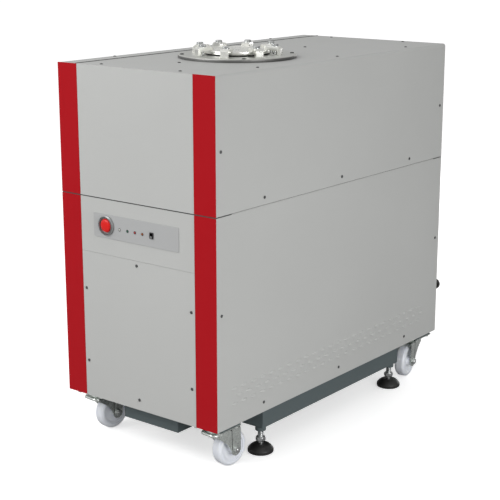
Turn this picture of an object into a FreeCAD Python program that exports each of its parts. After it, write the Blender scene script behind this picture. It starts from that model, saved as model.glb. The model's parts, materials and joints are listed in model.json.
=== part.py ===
import FreeCAD, Part
import math
import os

# A dry screw vacuum pump system in a wheeled cabinet. Millimetres, +Z up, +X to the right when one stands
# before the control panel, front face towards -Y. Places are worked out from the cabinet's middle; each node is
# saved with its origin on the floor below the middle of the whole machine, button and rear fittings included.
# A roots booster sits under the roof inlet and feeds a screw pump in the lower cabinet through a duct.

V = FreeCAD.Vector
OUT = "parts"

# Cabinet
WIDTH = 540.0            # outside, over the side panels
DEPTH = 1106.0           # front panel face to rear panel face
BASE_Z = 132.0           # underside of the cabinet above the floor
LOWER_H = 568.0          # lower cabinet, underside to seam
UPPER_H = 350.0          # upper cabinet, seam to roof
SEAM = 3.0               # open joint between the two cabinets
SHEET = 2.0              # panel sheet
BEND_R = 8.0             # outer radius of the roof bends
SIDE_RETURN = 12.0       # folded edge of side panels and hoods
FRONT_RETURN = 16.0      # folded edge of front panels, behind their sheet
STRIP_W = 70.0           # corner strips on the front
PANEL_GAP = 0.6          # joint between neighbouring front panels
FASCIA_H = 152.0         # control fascia, down from the seam
RIM_W = 65.0             # left hood, part that lies on the roof
ROOF_SEAM = 1.2          # joint between the two hoods

# Inner skeleton
POST_LEG = 36.0
POST_T = 3.0
POST_DROP = 10.0         # posts stop below the roof, clear of its bend
RAIL_W = 30.0
MID_RAIL_UP = 35.0       # mid rails reach this far above the seam
MID_RAIL_DOWN = 30.0     # and this far below it
TRAY_WALL_H = 44.0
BEAM_W = 40.0            # beams that carry the booster
BEAM_H = 32.0
BEAM_T = 4.0

# Undercarriage
FRAME_H = 55.0
FRAME_WALL = 5.0
FRAME_SIDE = 12.0        # frame's body inside the cabinet's side
FRAME_END = 208.0        # frame's body short of the cabinet's front and rear
ARM_SIDE = 172.0         # arms between the casters, inside the cabinet's side
ARM_END = 43.0           # arms short of the cabinet's front and rear
BRACKET_T = 7.0
BRACKET_SIDE = 8.0       # bracket edge inside the cabinet's side
CASTER_SIDE = 54.0       # kingpin inside the cabinet's side
CASTER_END = 62.0        # kingpin short of the cabinet's front and rear
CASTER_YAW = {"front_left": -6.0, "front_right": -8.0, "rear_left": 200.0, "rear_right": 190.0}
PLATE_X = 100.0
PLATE_Y = 85.0
PLATE_T = 3.0
KINGPIN_R = 6.0
KINGPIN_FOOT_R = 10.0
KINGPIN_FOOT_H = 3.0
HEAD_R = 28.0            # swivel head of a caster
HEAD_GAP = 3.0           # between the head's race and the plate
CONE_OUT_R = 23.5        # upper race, pressed down from the plate
CONE_IN_R = 18.0
CONE_DROP = 4.5
TRAIL = 45.0
WHEEL_R = 50.0
WHEEL_HALF = 18.0
WHEEL_RIM_R = 37.0
WHEEL_HUB_R = 14.0
WHEEL_HUB_HALF = 22.0    # hub stands out of the rim on both sides
WHEEL_DISH = 7.0         # depth of the dish between hub and rim
WHEEL_CROWN = 4.0        # drop of the tread's rounded edges
AXLE_R = 5.0
AXLE_AF = 17.0
AXLE_HEAD_H = 6.5
AXLE_BOSS_R = 9.0
FORK_T = 3.5
FORK_HALF = 29.0         # half width of the fork outside
FORK_EYE_R = 17.0
FORK_CROWN_GAP = 7.5     # crown's underside above the wheel
FORK_FRONT = 36.0        # front end of the crown before the kingpin
FORK_LIP = 8.0           # height of the crown's front lip
FORK_SWEEP = 8.5         # bulge of the legs' front edge beyond a straight line
FORK_BEND_R = 16.0       # outer radius between lip and legs
FORK_CROWN_R = 6.0       # outer radius between crown and legs
BOLT_SPAN_X = 80.0
BOLT_SPAN_Y = 64.0
BOLT_AF = 13.0
BOLT_H = 5.3
FOOT_SIDE = 32.0         # foot inside the cabinet's side
FOOT_END = 225.0         # foot short of the cabinet's front and rear
PAD_R = 36.0
PAD_H = 21.0
PAD_RIM_H = 11.0
PAD_NECK_R = 12.0
PAD_BULGE = 1.8          # bulge of the dome beyond a straight cone
PAD_SEAT_Z = 8.0         # stem end inside the pad
STEM_R = 8.0
STEM_AF = 24.0
STEM_HEX_H = 13.0
STEM_HEX_UP = 11.0       # hexagon above the pad
STEM_TIP = 2.0           # chamfer at the stem's end
BUSH_R = 15.0
BUSH_DROP = 13.0         # foot bushes stand out below the frame
BUSH_H = 30.0            # and inside it
RUN = 0.05               # radial running clearance of shafts, stems and pins
SIDE_RUN = 0.3           # axial clearance of turning parts

# Control panel, places measured from the cabinet's middle and down from the seam
LABEL_X = -1.25
LABEL_DROP = 73.5        # centre of the label plate below the seam
LABEL_W = 300.5
LABEL_H = 65.0
LABEL_T = 1.5
LABEL_R = 4.0
ESTOP_X = -104.5
ESTOP_DROP = 71.0
ESTOP_COLLAR_R = 27.0
ESTOP_COLLAR_T = 6.0     # collar in front of the label plate
ESTOP_CUP_R = 21.5       # well that the cap sinks into
ESTOP_CUP_WALL = 1.5
ESTOP_CUP_IN = 8.0       # well's floor behind the front face
ESTOP_CAP_R = 20.0
ESTOP_CAP_T = 12.0
ESTOP_SHAFT_R = 9.0
ESTOP_REACH = 10.0       # cap top in front of the front face
ESTOP_TRAVEL = 5.0
ESTOP_BEVEL = 2.5
ESTOP_NUT = 5.0          # lock nut behind the fascia, beyond the cup
ESTOP_FLOOR_T = 3.0      # floor of the cup
ESTOP_BLOCK_W = 32.0     # contact block
ESTOP_BLOCK_H = 40.0
ESTOP_BLOCK_L = 41.0
ESTOP_SHAFT_IN = 10.0    # button's shaft inside the contact block
LAMP_X = (-57.3, -28.6, -2.3, 24.0)
LAMP_DROP = 76.0
LAMP_R = 4.2
LAMP_STEM_R = 2.5
LAMP_H = 2.0
WINDOW_X = 57.0
WINDOW_DROP = 75.0
WINDOW_W = 12.5
WINDOW_H = 17.0
WINDOW_PROUD = 3.0
BOX_HALF = 185.0         # electrical box
BOX_BACK = 36.0          # its front wall behind the fascia's fold
BOX_DEPTH = 120.0
BOX_MARGIN = 12.0        # below the seam and above the fascia's foot

# Roof inlet
INLET_X = 25.0
INLET_FROM_PUMP = 60.0   # inlet axis behind the screw casing's front end
INLET_PLATE_R = 163.0
INLET_PLATE_T = 9.0
INLET_BORE_R = 76.5
INLET_PIPE_T = 3.5
ROOF_HOLE_R = 100.0
SEAL_GAP = 3.9
SEAL_R = 84.0            # outside of the centring ring, inside of the sealing ring
SEAL_W = 5.0
SEAL_CROWN = 1.5
BLANK_R = 90.0
BLANK_T = 10.0
CLAW_COUNT = 8
CLAW_TURN = 22.5
CLAW_W = 22.0
CLAW_IN_R = 80.0
CLAW_BOLT_R = 107.0
CLAW_OUT_R = 126.0
CLAW_HEEL = 11.0
CLAW_ARM_T = 9.0
CLAW_NOSE = 5.0
CLAW_NOSE_DROP = 3.0
CLAW_SLOPE_W = 8.0       # slope over the heel
CLAW_SLOPE_H = 6.0
CLAW_STEP = 2.0          # arm's underside below the blank's face
CLAW_BOLT_AF = 17.0
CLAW_BOLT_H = 6.4
CLAW_SHANK_R = 5.0
FLANGE_EDGE = 1.5        # chamfer of the flange plate and step of the blank
BLANK_RIM = 20.0         # raised rim of the blank

# Roots booster: two lobed rotors side by side, shafts along Y
BOOSTER_UP = 127.0       # booster axis above the beams that carry it
LOBE_PITCH_R = 60.0      # half the shaft distance
LOBE_CLEARANCE = 0.35
BOOSTER_LENGTH = 220.0
BOOSTER_WALL = 12.0
BOOSTER_SHAFT_R = 20.0
BOOSTER_PLATE_T = 22.0
BOOSTER_GEARCASE_L = 78.0
BOOSTER_FLANGE_R = 110.0
BOOSTER_NECK_R = 88.0
BOOSTER_FLANGE_T = 14.0
BOOSTER_TOP = 123.0      # inlet flange face above the booster axis
BOOSTER_FOOT = 117.0     # outlet flange face below the booster axis
BOOSTER_FOOT_INSET = 20.0
BOOSTER_WEB_T = 16.0     # feet: web, sole and its reach
BOOSTER_SOLE_T = 12.0
BOOSTER_SOLE_X = 40.0
BOOSTER_MOTOR_R = 90.0
BOOSTER_MOTOR_L = 240.0
LOBE_POINTS = 10         # points along each of the four arches of a lobe profile

# Screw pump: two rotors of opposite hand, shafts along Y
SCREW_UP = 168.0         # screw axis above the cabinet's underside
SCREW_PITCH_R = 55.0     # half the shaft distance
SCREW_R = 72.0
SCREW_CLEARANCE = 0.4
SCREW_LEAD = 140.0
SCREW_LENGTH = 420.0
SCREW_WALL = 16.0
SCREW_SHAFT_R = 18.0
SCREW_PLATE_T = 30.0
SCREW_GEARCASE_L = 70.0
SCREW_MOTOR_R = 95.0
SCREW_MOTOR_L = 220.0
SCREW_MOTOR_GAP = 33.0   # motor's end before the rear panel's face
SCREW_RIB_W = 8.0
SCREW_RIB_H = 6.0
SCREW_RIBS = (0.3, 0.5, 0.7)
SCREW_FOOT_HALF = 120.0
SCREW_FOOT_TOP = 90.0
SCREW_FOOT_T = 24.0
SCREW_FOOT_INSET = 35.0
SCREW_SOLE_T = 14.0
SCREW_CAP_T = 8.0
SCREW_STEPS_PER_TURN = 9
FLANK_STEPS = 5
ARC_STEPS = 6

# Gears and bearings
GEAR_TEETH = 20
GEAR_W = 30.0
GEAR_BACKLASH = 0.5
PRESSURE_ANGLE = 20.0
BEARING_R = 31.0
BEARING_W = 18.0
GEAR_SIDE = 10.0         # gear beside its end plate
GEARCASE_SHARE = 1.35    # gear case radius over the pitch radius
GEARCASE_WALL = 8.0
SHAFT_END = 4.0          # shafts stand this far out of their gears
SHAFT_SHORT = 2.0        # and stop this far inside a closed end plate
SHAFT_INTO_MOTOR = 60.0
MOTOR_FLANGE_IN = 10.0   # motor's flange inside its shell
MOTOR_FLANGE_T = 12.0
MOTOR_BELL = 30.0        # end bell
MOTOR_BELL_STEP = 8.0

# Duct between the two pumps
DUCT_R = 54.0
DUCT_WALL = 4.0
DUCT_FLANGE_R = 66.0
DUCT_FLANGE_T = 12.0
DUCT_NECK = 4.0          # pump's inlet neck outside the duct
DUCT_UP = 130.0          # duct's foot above the screw axis
BELLOWS_R = 64.0
BELLOWS_FOLDS = 5
BELLOWS_PITCH = 16.0

# Rear connections
REAR_REACH = 35.0        # all rear connections end this far behind the rear panel
EXHAUST_SIDE = 65.0      # exhaust pipe inside the cabinet's left side
EXHAUST_PORT_END = 30.0  # exhaust port before the screw casing's rear end
EXHAUST_PORT_REACH = 22.0
EXHAUST_FLANGE_T = 10.0
EXHAUST_BOLT_R = 18.0    # port flange beyond the pipe
EXHAUST_PIPE_R = 22.5
EXHAUST_BORE_R = 20.5
EXHAUST_FLANGE_R = 27.5
SILENCER_R = 50.0
SILENCER_START = 15.0    # silencer behind the elbow
SILENCER_L = 210.0
SILENCER_CONE = 8.0
WATER_SIDE = (24.0, 74.0)   # couplings inside the cabinet's right side
WATER_UP = 145.0         # heights of the connections above the cabinet's underside
WATER_R = 17.0
WATER_SPIGOT_R = 9.0
WATER_BORE_R = 7.5
WATER_BORE_L = 20.0
WATER_NUT_T = 10.0
WATER_STEP = 3.0
WATER_COLLAR = 13.0
GAS_UP = 95.0
GAS_R = 8.5
GAS_SPIGOT_R = 6.0
GAS_BORE_R = 4.05
GAS_REACH = 18.0
GAS_BORE_L = 12.0
GLAND_UP = 78.0
GLAND_NUT_T = 6.0
GLAND_DOME = 9.0
SPIGOT_IN = 6.0          # spigots reach this far inside the rear post
GLANDS = ((60.0, 16.0, 10.0), (110.0, 10.0, 5.0))   # x, thread radius, cable bore radius

# Places that follow from the values above
HALF_W = WIDTH / 2
MIDDLE_Y = (REAR_REACH - ESTOP_REACH) / 2   # middle of the whole machine behind the cabinet's middle
FRONT_Y = -DEPTH / 2
REAR_Y = DEPTH / 2
FRAME_X = HALF_W - FRAME_SIDE
FRAME_Y = REAR_Y - FRAME_END
ARM_X = HALF_W - ARM_SIDE
ARM_Y = REAR_Y - ARM_END
CASTER_X = HALF_W - CASTER_SIDE
CASTER_Y = REAR_Y - CASTER_END
FOOT_X = HALF_W - FOOT_SIDE
FOOT_Y = REAR_Y - FOOT_END
SEAM_Z = BASE_Z + LOWER_H
TOP_Z = SEAM_Z + UPPER_H
LOWER_TOP = SEAM_Z - SEAM / 2
UPPER_BOTTOM = SEAM_Z + SEAM / 2
SIDE_Y0 = FRONT_Y + SHEET                 # side panels start behind the front sheet
SIDE_Y1 = REAR_Y
FOLD_Y = FRONT_Y + SHEET + FRONT_RETURN   # back edge of the front panels
STRIP_IN = HALF_W - STRIP_W
PANEL_HALF = STRIP_IN - PANEL_GAP
FASCIA_Z = SEAM_Z - FASCIA_H
ROOF_UNDER = TOP_Z - SHEET
PLATE_TOP = BASE_Z - BRACKET_T
PLATE_UNDER = PLATE_TOP - PLATE_T
FRAME_Z = BASE_Z - FRAME_H
INLET_TOP = TOP_Z + INLET_PLATE_T
BLANK_Z = INLET_TOP + SEAL_GAP
BLANK_TOP = BLANK_Z + BLANK_T
CLAW_TOP = BLANK_TOP + CLAW_ARM_T
BEAM_TOP = SEAM_Z + MID_RAIL_UP
MID_X = HALF_W - SIDE_RETURN              # inner edge of the side returns
STEM_TOP = FRAME_Z + BUSH_H - STEM_TIP
LABEL_Z = SEAM_Z - LABEL_DROP
ESTOP_Z = SEAM_Z - ESTOP_DROP
LAMP_Z = SEAM_Z - LAMP_DROP
WINDOW_Z = SEAM_Z - WINDOW_DROP
SCREW_Z = BASE_Z + SCREW_UP
SCREW_END = REAR_Y - SCREW_MOTOR_GAP - SCREW_MOTOR_L - SCREW_GEARCASE_L - SCREW_PLATE_T
SCREW_Y0 = SCREW_END - SCREW_LENGTH
INLET_Y = SCREW_Y0 + INLET_FROM_PUMP
BOOSTER_Y0 = INLET_Y - BOOSTER_LENGTH / 2
BOOSTER_Y1 = INLET_Y + BOOSTER_LENGTH / 2
BOOSTER_Z = BEAM_TOP + BOOSTER_UP
BOOSTER_TOP_Z = BOOSTER_Z + BOOSTER_TOP
DUCT_TOP_Z = BOOSTER_Z - BOOSTER_FOOT
DUCT_BOTTOM_Z = SCREW_Z + DUCT_UP
EXHAUST_X = EXHAUST_SIDE - HALF_W
EXHAUST_PORT_Y = SCREW_END - EXHAUST_PORT_END
WATER_X = tuple(HALF_W - inside for inside in WATER_SIDE)
WATER_Z = BASE_Z + WATER_UP
GAS_X = WATER_X[0]
GAS_Z = BASE_Z + GAS_UP
GLAND_Z = BASE_Z + GLAND_UP
BOOSTER_X = (INLET_X + LOBE_PITCH_R, INLET_X - LOBE_PITCH_R)     # drive, idle
SCREW_X = (INLET_X + SCREW_PITCH_R, INLET_X - SCREW_PITCH_R)     # drive, idle
LOBE_R = 1.5 * LOBE_PITCH_R
SCREW_Y1 = SCREW_END
CORNERS = {
    "front_left": (-1, -1), "front_right": (1, -1), "rear_left": (-1, 1), "rear_right": (1, 1),
}

# Basic shapes
AXES = {"x": V(1, 0, 0), "y": V(0, 1, 0), "z": V(0, 0, 1)}


def box(x0, x1, y0, y1, z0, z1):
    """Block between two corners, given axis by axis in any order."""
    low = V(min(x0, x1), min(y0, y1), min(z0, z1))
    return Part.makeBox(abs(x1 - x0), abs(y1 - y0), abs(z1 - z0), low)


def cylinder(radius, start, length, axis="z"):
    """Cylinder from a point along an axis."""
    return Part.makeCylinder(radius, length, V(*start), AXES[axis])


def face_of(points, lift):
    """Face inside a closed outline. A point is (u, v); an arc is ("arc", middle, end)."""
    edges = []
    first = last = points[0]
    for item in list(points[1:]) + [first]:
        if item[0] == "arc":
            edges.append(Part.Arc(lift(last), lift(item[1]), lift(item[2])).toShape())
            last = item[2]
        else:
            if (lift(item) - lift(last)).Length > 1e-6:
                edges.append(Part.LineSegment(lift(last), lift(item)).toShape())
            last = item
    return Part.Face(Part.Wire(edges))


def prism(points, axis, start, end):
    """Straight extrusion of an outline. Its two coordinates are the other axes in X, Y, Z order."""
    lift = {
        "x": lambda p: V(start, p[0], p[1]),
        "y": lambda p: V(p[0], start, p[1]),
        "z": lambda p: V(p[0], p[1], start),
    }[axis]
    return face_of(points, lift).extrude(AXES[axis] * (end - start))


def revolve(profile, origin, axis="z"):
    """Turned solid. The profile is a list of (radius, distance along the axis from the origin)."""
    solid = face_of(profile, lambda p: V(p[0], 0, p[1])).revolve(V(0, 0, 0), V(0, 0, 1), 360)
    turn = FreeCAD.Rotation(V(0, 0, 1), AXES[axis])
    solid.Placement = FreeCAD.Placement(V(*origin), turn)
    return solid


def ring(outer, inner, origin, length, axis="z"):
    """Plain ring or tube."""
    return revolve([(inner, 0), (outer, 0), (outer, length), (inner, length)], origin, axis)


def hexagon(across_flats, start, length, axis="z", bore=0.0):
    """Hexagonal prism, with an optional round bore."""
    corner = across_flats / math.sqrt(3)
    flat = [(corner * math.cos(math.radians(60 * k)), corner * math.sin(math.radians(60 * k))) for k in range(6)]
    u, v = [i for i in range(3) if "xyz"[i] != axis]
    shifted = [(a + start[u], b + start[v]) for a, b in flat]
    along = start["xyz".index(axis)]
    solid = prism(shifted, axis, along, along + length)
    if bore:
        solid = solid.cut(cylinder(bore, start, length, axis))
    return solid


def fuse(shapes):
    """One solid from several that touch or overlap."""
    result = shapes[0].multiFuse(shapes[1:]) if len(shapes) > 1 else shapes[0]
    return result.removeSplitter()


def cut(base, tools):
    """Base without the tools."""
    for tool in tools:
        base = base.cut(tool)
    return base


def mirror_x(shape):
    """Copy on the other side of the machine."""
    return shape.mirror(V(0, 0, 0), V(1, 0, 0))


def turned(shape, angle, centre):
    """Copy turned about a vertical line through a point."""
    copy = shape.copy()
    copy.rotate(V(*centre), V(0, 0, 1), angle)
    return copy


def moved(shape, offset):
    """Copy moved by an offset."""
    copy = shape.copy()
    copy.translate(V(*offset))
    return copy


def save(name, solids):
    """Write one node. Several solids are kept as separate bodies of one file."""
    solids = solids if isinstance(solids, list) else [solids]
    bodies = [body for solid in solids for body in solid.Solids]
    if not bodies or not all(body.isValid() for body in bodies):
        raise ValueError(name + " has no valid solid")
    shape = moved(bodies[0] if len(bodies) == 1 else Part.makeCompound(bodies), (0, -MIDDLE_Y, 0))
    shape.exportStep(os.path.join(OUT, name + ".step"))
    print(name, len(bodies), round(sum(body.Volume for body in bodies) / 1000.0, 1), "cm3")


def twin_hull(xs, z, radius, y0, y1):
    """Prism along Y round two parallel shafts: two half circles joined by straight sides."""
    right, left = max(xs), min(xs)
    outline = [
        (left, z - radius), (right, z - radius),
        ("arc", (right + radius, z), (right, z + radius)), (left, z + radius),
        ("arc", (left - radius, z), (left, z - radius)),
    ]
    return prism(outline, "y", y0, y1)


# Undercarriage
def tub(x0, x1, y0, y1):
    """Shallow tub of folded plate, open at the top."""
    hollow = box(x0 + FRAME_WALL, x1 - FRAME_WALL, y0 + FRAME_WALL, y1 - FRAME_WALL, FRAME_Z + FRAME_WALL, BASE_Z)
    return box(x0, x1, y0, y1, FRAME_Z, BASE_Z).cut(hollow)


def make_base_frame():
    """Base under the cabinet: a wide tub with foot bushes, an arm at each end, and brackets beside the arms."""
    body = [tub(-FRAME_X, FRAME_X, -FRAME_Y, FRAME_Y)]
    arms = [tub(-ARM_X, ARM_X, -ARM_Y, -FRAME_Y), tub(-ARM_X, ARM_X, FRAME_Y, ARM_Y)]
    holes = []
    brackets = []
    near, far = CASTER_Y - PLATE_Y / 2 - PLATE_T, CASTER_Y + PLATE_Y / 2
    for sx, sy in CORNERS.values():
        foot = (sx * FOOT_X, sy * FOOT_Y, FRAME_Z - BUSH_DROP)
        body.append(cylinder(BUSH_R, foot, BUSH_DROP + BUSH_H))
        holes.append(cylinder(STEM_R + RUN, foot, BUSH_DROP + BUSH_H))
        brackets.append(box(sx * ARM_X, sx * (HALF_W - BRACKET_SIDE), sy * near, sy * far, PLATE_TOP, BASE_Z))
    save("base_frame", [cut(fuse(body), holes)] + arms + brackets)


def caster_plate(x, y):
    """Fixed top plate of a caster with its upper race and kingpin."""
    plate = box(x - PLATE_X / 2, x + PLATE_X / 2, y - PLATE_Y / 2, y + PLATE_Y / 2, PLATE_UNDER, PLATE_TOP)
    foot_z = 2 * WHEEL_R + FORK_CROWN_GAP / 2
    foot_top = foot_z + KINGPIN_FOOT_H
    cone_z = PLATE_UNDER - CONE_DROP
    pin = revolve([
        (0, foot_z), (KINGPIN_FOOT_R, foot_z), (KINGPIN_FOOT_R, foot_top), (KINGPIN_R, foot_top),
        (KINGPIN_R, cone_z), (CONE_IN_R, cone_z), (CONE_OUT_R, PLATE_UNDER), (0, PLATE_UNDER),
    ], (x, y, 0))
    return fuse([plate, pin])


def channel(half, top, front, back, bend_r, crown_r):
    """Block of the pressed fork, rounded between its front and sides and along the crown."""
    block = box(-half, half, front, back, 0, top)
    uprights = [e for e in block.Edges if all(abs(v.Y - front) < 1e-6 for v in e.Vertexes)
                and abs(e.Vertexes[0].Z - e.Vertexes[1].Z) > 1.0]
    block = block.makeFillet(bend_r, uprights)
    rim = [e for e in block.Edges if all(abs(v.Z - top) < 1e-6 for v in e.Vertexes)
           and not all(abs(v.Y - back) < 1e-6 for v in e.Vertexes)]
    return block.makeFillet(crown_r, rim)


def fork_side(crown_top):
    """Side view of the fork: lip, swept front edge, eye round the axle, upright rear edge."""
    eye_front, back = (TRAIL - FORK_EYE_R, WHEEL_R), TRAIL + FORK_EYE_R
    lip = (-FORK_FRONT, crown_top - FORK_LIP)
    run, drop = eye_front[0] - lip[0], lip[1] - eye_front[1]
    length = math.hypot(run, drop)
    sweep = (lip[0] + run / 2 + FORK_SWEEP * drop / length, lip[1] - drop / 2 + FORK_SWEEP * run / length)
    return prism([
        (back, crown_top), (back, WHEEL_R), ("arc", (TRAIL, WHEEL_R - FORK_EYE_R), eye_front), ("arc", sweep, lip),
        (-FORK_FRONT, crown_top),
    ], "x", -FORK_HALF, FORK_HALF)


def caster_fork(x, y, yaw):
    """Pressed swivel fork: crown with a raised race, front lip and two trailing legs; and its axle bolt."""
    floor = 2 * WHEEL_R + FORK_CROWN_GAP
    crown_top = floor + FORK_T
    rim_top = PLATE_UNDER - HEAD_GAP
    bore = KINGPIN_R + RUN
    outer = FORK_HALF
    inner = outer - FORK_T
    back = TRAIL + FORK_EYE_R
    shell = channel(outer, crown_top, -FORK_FRONT, back, FORK_BEND_R, FORK_CROWN_R)
    hollow = channel(inner, floor, FORK_T - FORK_FRONT, 2 * back, FORK_BEND_R - FORK_T, FORK_CROWN_R - FORK_T)
    race = revolve([
        (bore, floor), (HEAD_R, floor), (HEAD_R, rim_top), (HEAD_R - FORK_T, rim_top),
        (HEAD_R - FORK_T, crown_top), (bore, crown_top),
    ], (0, 0, 0))
    parts = [shell.common(fork_side(crown_top)).cut(hollow), race]
    start = WHEEL_HUB_HALF + SIDE_RUN
    boss = cylinder(AXLE_BOSS_R, (start, TRAIL, WHEEL_R), inner - start, "x")
    fork = fuse(parts + [boss, mirror_x(boss)])
    fork = fork.cut(cylinder(AXLE_R, (-outer, TRAIL, WHEEL_R), 2 * outer, "x"))
    fork = fork.cut(cylinder(bore, (0, 0, floor), FORK_T))
    bolt = fuse([
        cylinder(AXLE_R, (-outer, TRAIL, WHEEL_R), 2 * outer, "x"),
        hexagon(AXLE_AF, (outer, TRAIL, WHEEL_R), AXLE_HEAD_H, "x"),
        hexagon(AXLE_AF, (-outer - AXLE_HEAD_H, TRAIL, WHEEL_R), AXLE_HEAD_H, "x"),
    ])
    return [moved(turned(s, yaw, (0, 0, 0)), (x, y, 0)) for s in (fork, bolt)]


def caster_wheel(x, y, yaw):
    """Solid nylon wheel: hub, dished web, rim with a crowned tread."""
    half = [
        (AXLE_R + RUN, WHEEL_HUB_HALF), (WHEEL_HUB_R, WHEEL_HUB_HALF), (WHEEL_HUB_R + 2, WHEEL_HALF - WHEEL_DISH),
        (WHEEL_RIM_R - 2, WHEEL_HALF - WHEEL_DISH), (WHEEL_RIM_R, WHEEL_HALF - 1),
        (WHEEL_R - WHEEL_CROWN, WHEEL_HALF - 1), (WHEEL_R, WHEEL_HALF - 1 - WHEEL_CROWN),
    ]
    profile = half + [(r, -t) for r, t in reversed(half)]
    wheel = revolve(profile, (0, TRAIL, WHEEL_R), "x")
    return moved(turned(wheel, yaw, (0, 0, 0)), (x, y, 0))


def make_casters():
    """Four swivel casters under the cabinet's corners."""
    plates = []
    for name, (sx, sy) in CORNERS.items():
        x, y = sx * CASTER_X, sy * CASTER_Y
        plates.append(caster_plate(x, y))
        save("caster_fork_" + name, caster_fork(x, y, CASTER_YAW[name]))
        save("caster_wheel_" + name, caster_wheel(x, y, CASTER_YAW[name]))
    save("caster_plates", plates)


def make_feet():
    """Four levelling feet: threaded stem with a hexagon, and a domed pad with a socket for the stem."""
    slope = math.atan2(PAD_H - PAD_RIM_H, PAD_R - PAD_NECK_R)
    dome_mid = ((PAD_R + PAD_NECK_R) / 2 + PAD_BULGE * math.sin(slope),
                (PAD_RIM_H + PAD_H) / 2 + PAD_BULGE * math.cos(slope))
    for name, (sx, sy) in CORNERS.items():
        x, y = sx * FOOT_X, sy * FOOT_Y
        stem = fuse([
            revolve([(0, PAD_SEAT_Z), (STEM_R, PAD_SEAT_Z), (STEM_R, STEM_TOP - STEM_TIP),
                     (STEM_R - STEM_TIP, STEM_TOP), (0, STEM_TOP)], (x, y, 0)),
            hexagon(STEM_AF, (x, y, PAD_H + STEM_HEX_UP), STEM_HEX_H),
        ])
        save("foot_stem_" + name, stem)
        pad = revolve([
            (0, 0), (PAD_R, 0), (PAD_R, PAD_RIM_H), ("arc", dome_mid, (PAD_NECK_R, PAD_H)),
            (STEM_R, PAD_H), (STEM_R, PAD_SEAT_Z), (0, PAD_SEAT_Z),
        ], (x, y, 0))
        save("foot_pad_" + name, pad)


def make_undercarriage_fasteners():
    """Hexagon bolts that hold the caster plates."""
    pieces = []
    for sx, sy in CORNERS.values():
        for bx in (-1, 1):
            for by in (-1, 1):
                x = sx * CASTER_X + bx * BOLT_SPAN_X / 2
                y = sy * CASTER_Y + by * BOLT_SPAN_Y / 2
                pieces.append(hexagon(BOLT_AF, (x, y, PLATE_UNDER - BOLT_H), BOLT_H))
    save("undercarriage_fasteners", pieces)


# Cabinet
def rear_holes():
    """Cylinders that open the rear panel for each connection."""
    depth = POST_LEG
    y = REAR_Y - depth
    tools = [cylinder(EXHAUST_PIPE_R + SHEET, (EXHAUST_X, y, SCREW_Z), 2 * depth, "y")]
    tools += [cylinder(WATER_SPIGOT_R, (x, y, WATER_Z), 2 * depth, "y") for x in WATER_X]
    tools.append(cylinder(GAS_SPIGOT_R, (GAS_X, y, GAS_Z), 2 * depth, "y"))
    tools += [cylinder(r, (x, y, GLAND_Z), 2 * depth, "y") for x, r, _ in GLANDS]
    return tools


def make_tray():
    """Floor tray with upturned edges inside the cabinet's foot."""
    back = REAR_Y - SHEET - POST_T
    outer = box(-MID_X, MID_X, FOLD_Y, back, BASE_Z, BASE_Z + TRAY_WALL_H)
    inner = box(-MID_X + SHEET, MID_X - SHEET, FOLD_Y + SHEET, back - SHEET, BASE_Z + SHEET, BASE_Z + TRAY_WALL_H)
    save("floor_tray", outer.cut(inner))


def make_cabinet_frame():
    """Welded skeleton: posts, rails at the foot, the seam and the roof, cross rails and booster beams."""
    out_x = HALF_W - SHEET
    t = POST_T
    low, high = BASE_Z + SHEET, TOP_Z - POST_DROP
    front, back = SIDE_Y0 + SHEET, REAR_Y - SHEET
    roof_x = HALF_W - BEND_R
    rail_low, rail_high = SEAM_Z - MID_RAIL_DOWN, BEAM_TOP
    cross_z = TOP_Z - SIDE_RETURN - t
    tray_z = low + TRAY_WALL_H - 2 * SHEET
    side = []
    for y, inward in ((front, 1), (back, -1)):
        side.append(fuse([
            box(out_x - t, out_x, y, y + inward * POST_LEG, low, high),
            box(out_x - POST_LEG, out_x, y, y + inward * t, low, high),
        ]))
    side.append(fuse([
        box(out_x - t, out_x, front + POST_LEG, back - POST_LEG, low, tray_z),
        box(MID_X, out_x, front + POST_LEG, back - POST_LEG, low, low + t),
    ]))
    side.append(box(MID_X - t, MID_X, front + t, back - t, rail_low, rail_high))
    side.append(fuse([
        box(roof_x - RAIL_W, roof_x, front + t, back - t, ROOF_UNDER - t, ROOF_UNDER),
        box(roof_x - t, roof_x, front + t, back - t, ROOF_UNDER - POST_LEG, ROOF_UNDER),
    ]))
    members = side + [mirror_x(member) for member in side]
    members += [
        box(t - MID_X, MID_X - t, FOLD_Y, FOLD_Y + t, rail_low, rail_high),
        box(t - out_x, out_x - t, FOLD_Y, FOLD_Y + t, FASCIA_Z - RAIL_W / 2, FASCIA_Z + RAIL_W / 2),
        box(POST_LEG - out_x, out_x - POST_LEG, back - t, back, rail_low, rail_high),
        box(t - roof_x, roof_x - t, front + t, front + RAIL_W, cross_z, cross_z + t),
        box(t - roof_x, roof_x - t, back - RAIL_W, back - t, cross_z, cross_z + t),
    ]
    for y in booster_foot_places():
        web = [
            (y - BEAM_W / 2, BEAM_TOP - BEAM_H), (y - BEAM_W / 2 + BEAM_T, BEAM_TOP - BEAM_H),
            (y - BEAM_W / 2 + BEAM_T, BEAM_TOP - BEAM_T), (y + BEAM_W / 2 - BEAM_T, BEAM_TOP - BEAM_T),
            (y + BEAM_W / 2 - BEAM_T, BEAM_TOP - BEAM_H), (y + BEAM_W / 2, BEAM_TOP - BEAM_H),
            (y + BEAM_W / 2, BEAM_TOP), (y - BEAM_W / 2, BEAM_TOP),
        ]
        members.append(prism(web, "x", t - MID_X, MID_X - t))
    save("cabinet_frame", [cut(member, rear_holes()) for member in members])


def c_section(bottom, top):
    """Section of a side panel on the right: upright sheet with a return at each edge."""
    return [
        (MID_X, bottom), (HALF_W, bottom), (HALF_W, top), (MID_X, top), (MID_X, top - SHEET),
        (HALF_W - SHEET, top - SHEET), (HALF_W - SHEET, bottom + SHEET), (MID_X, bottom + SHEET),
    ]


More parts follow.
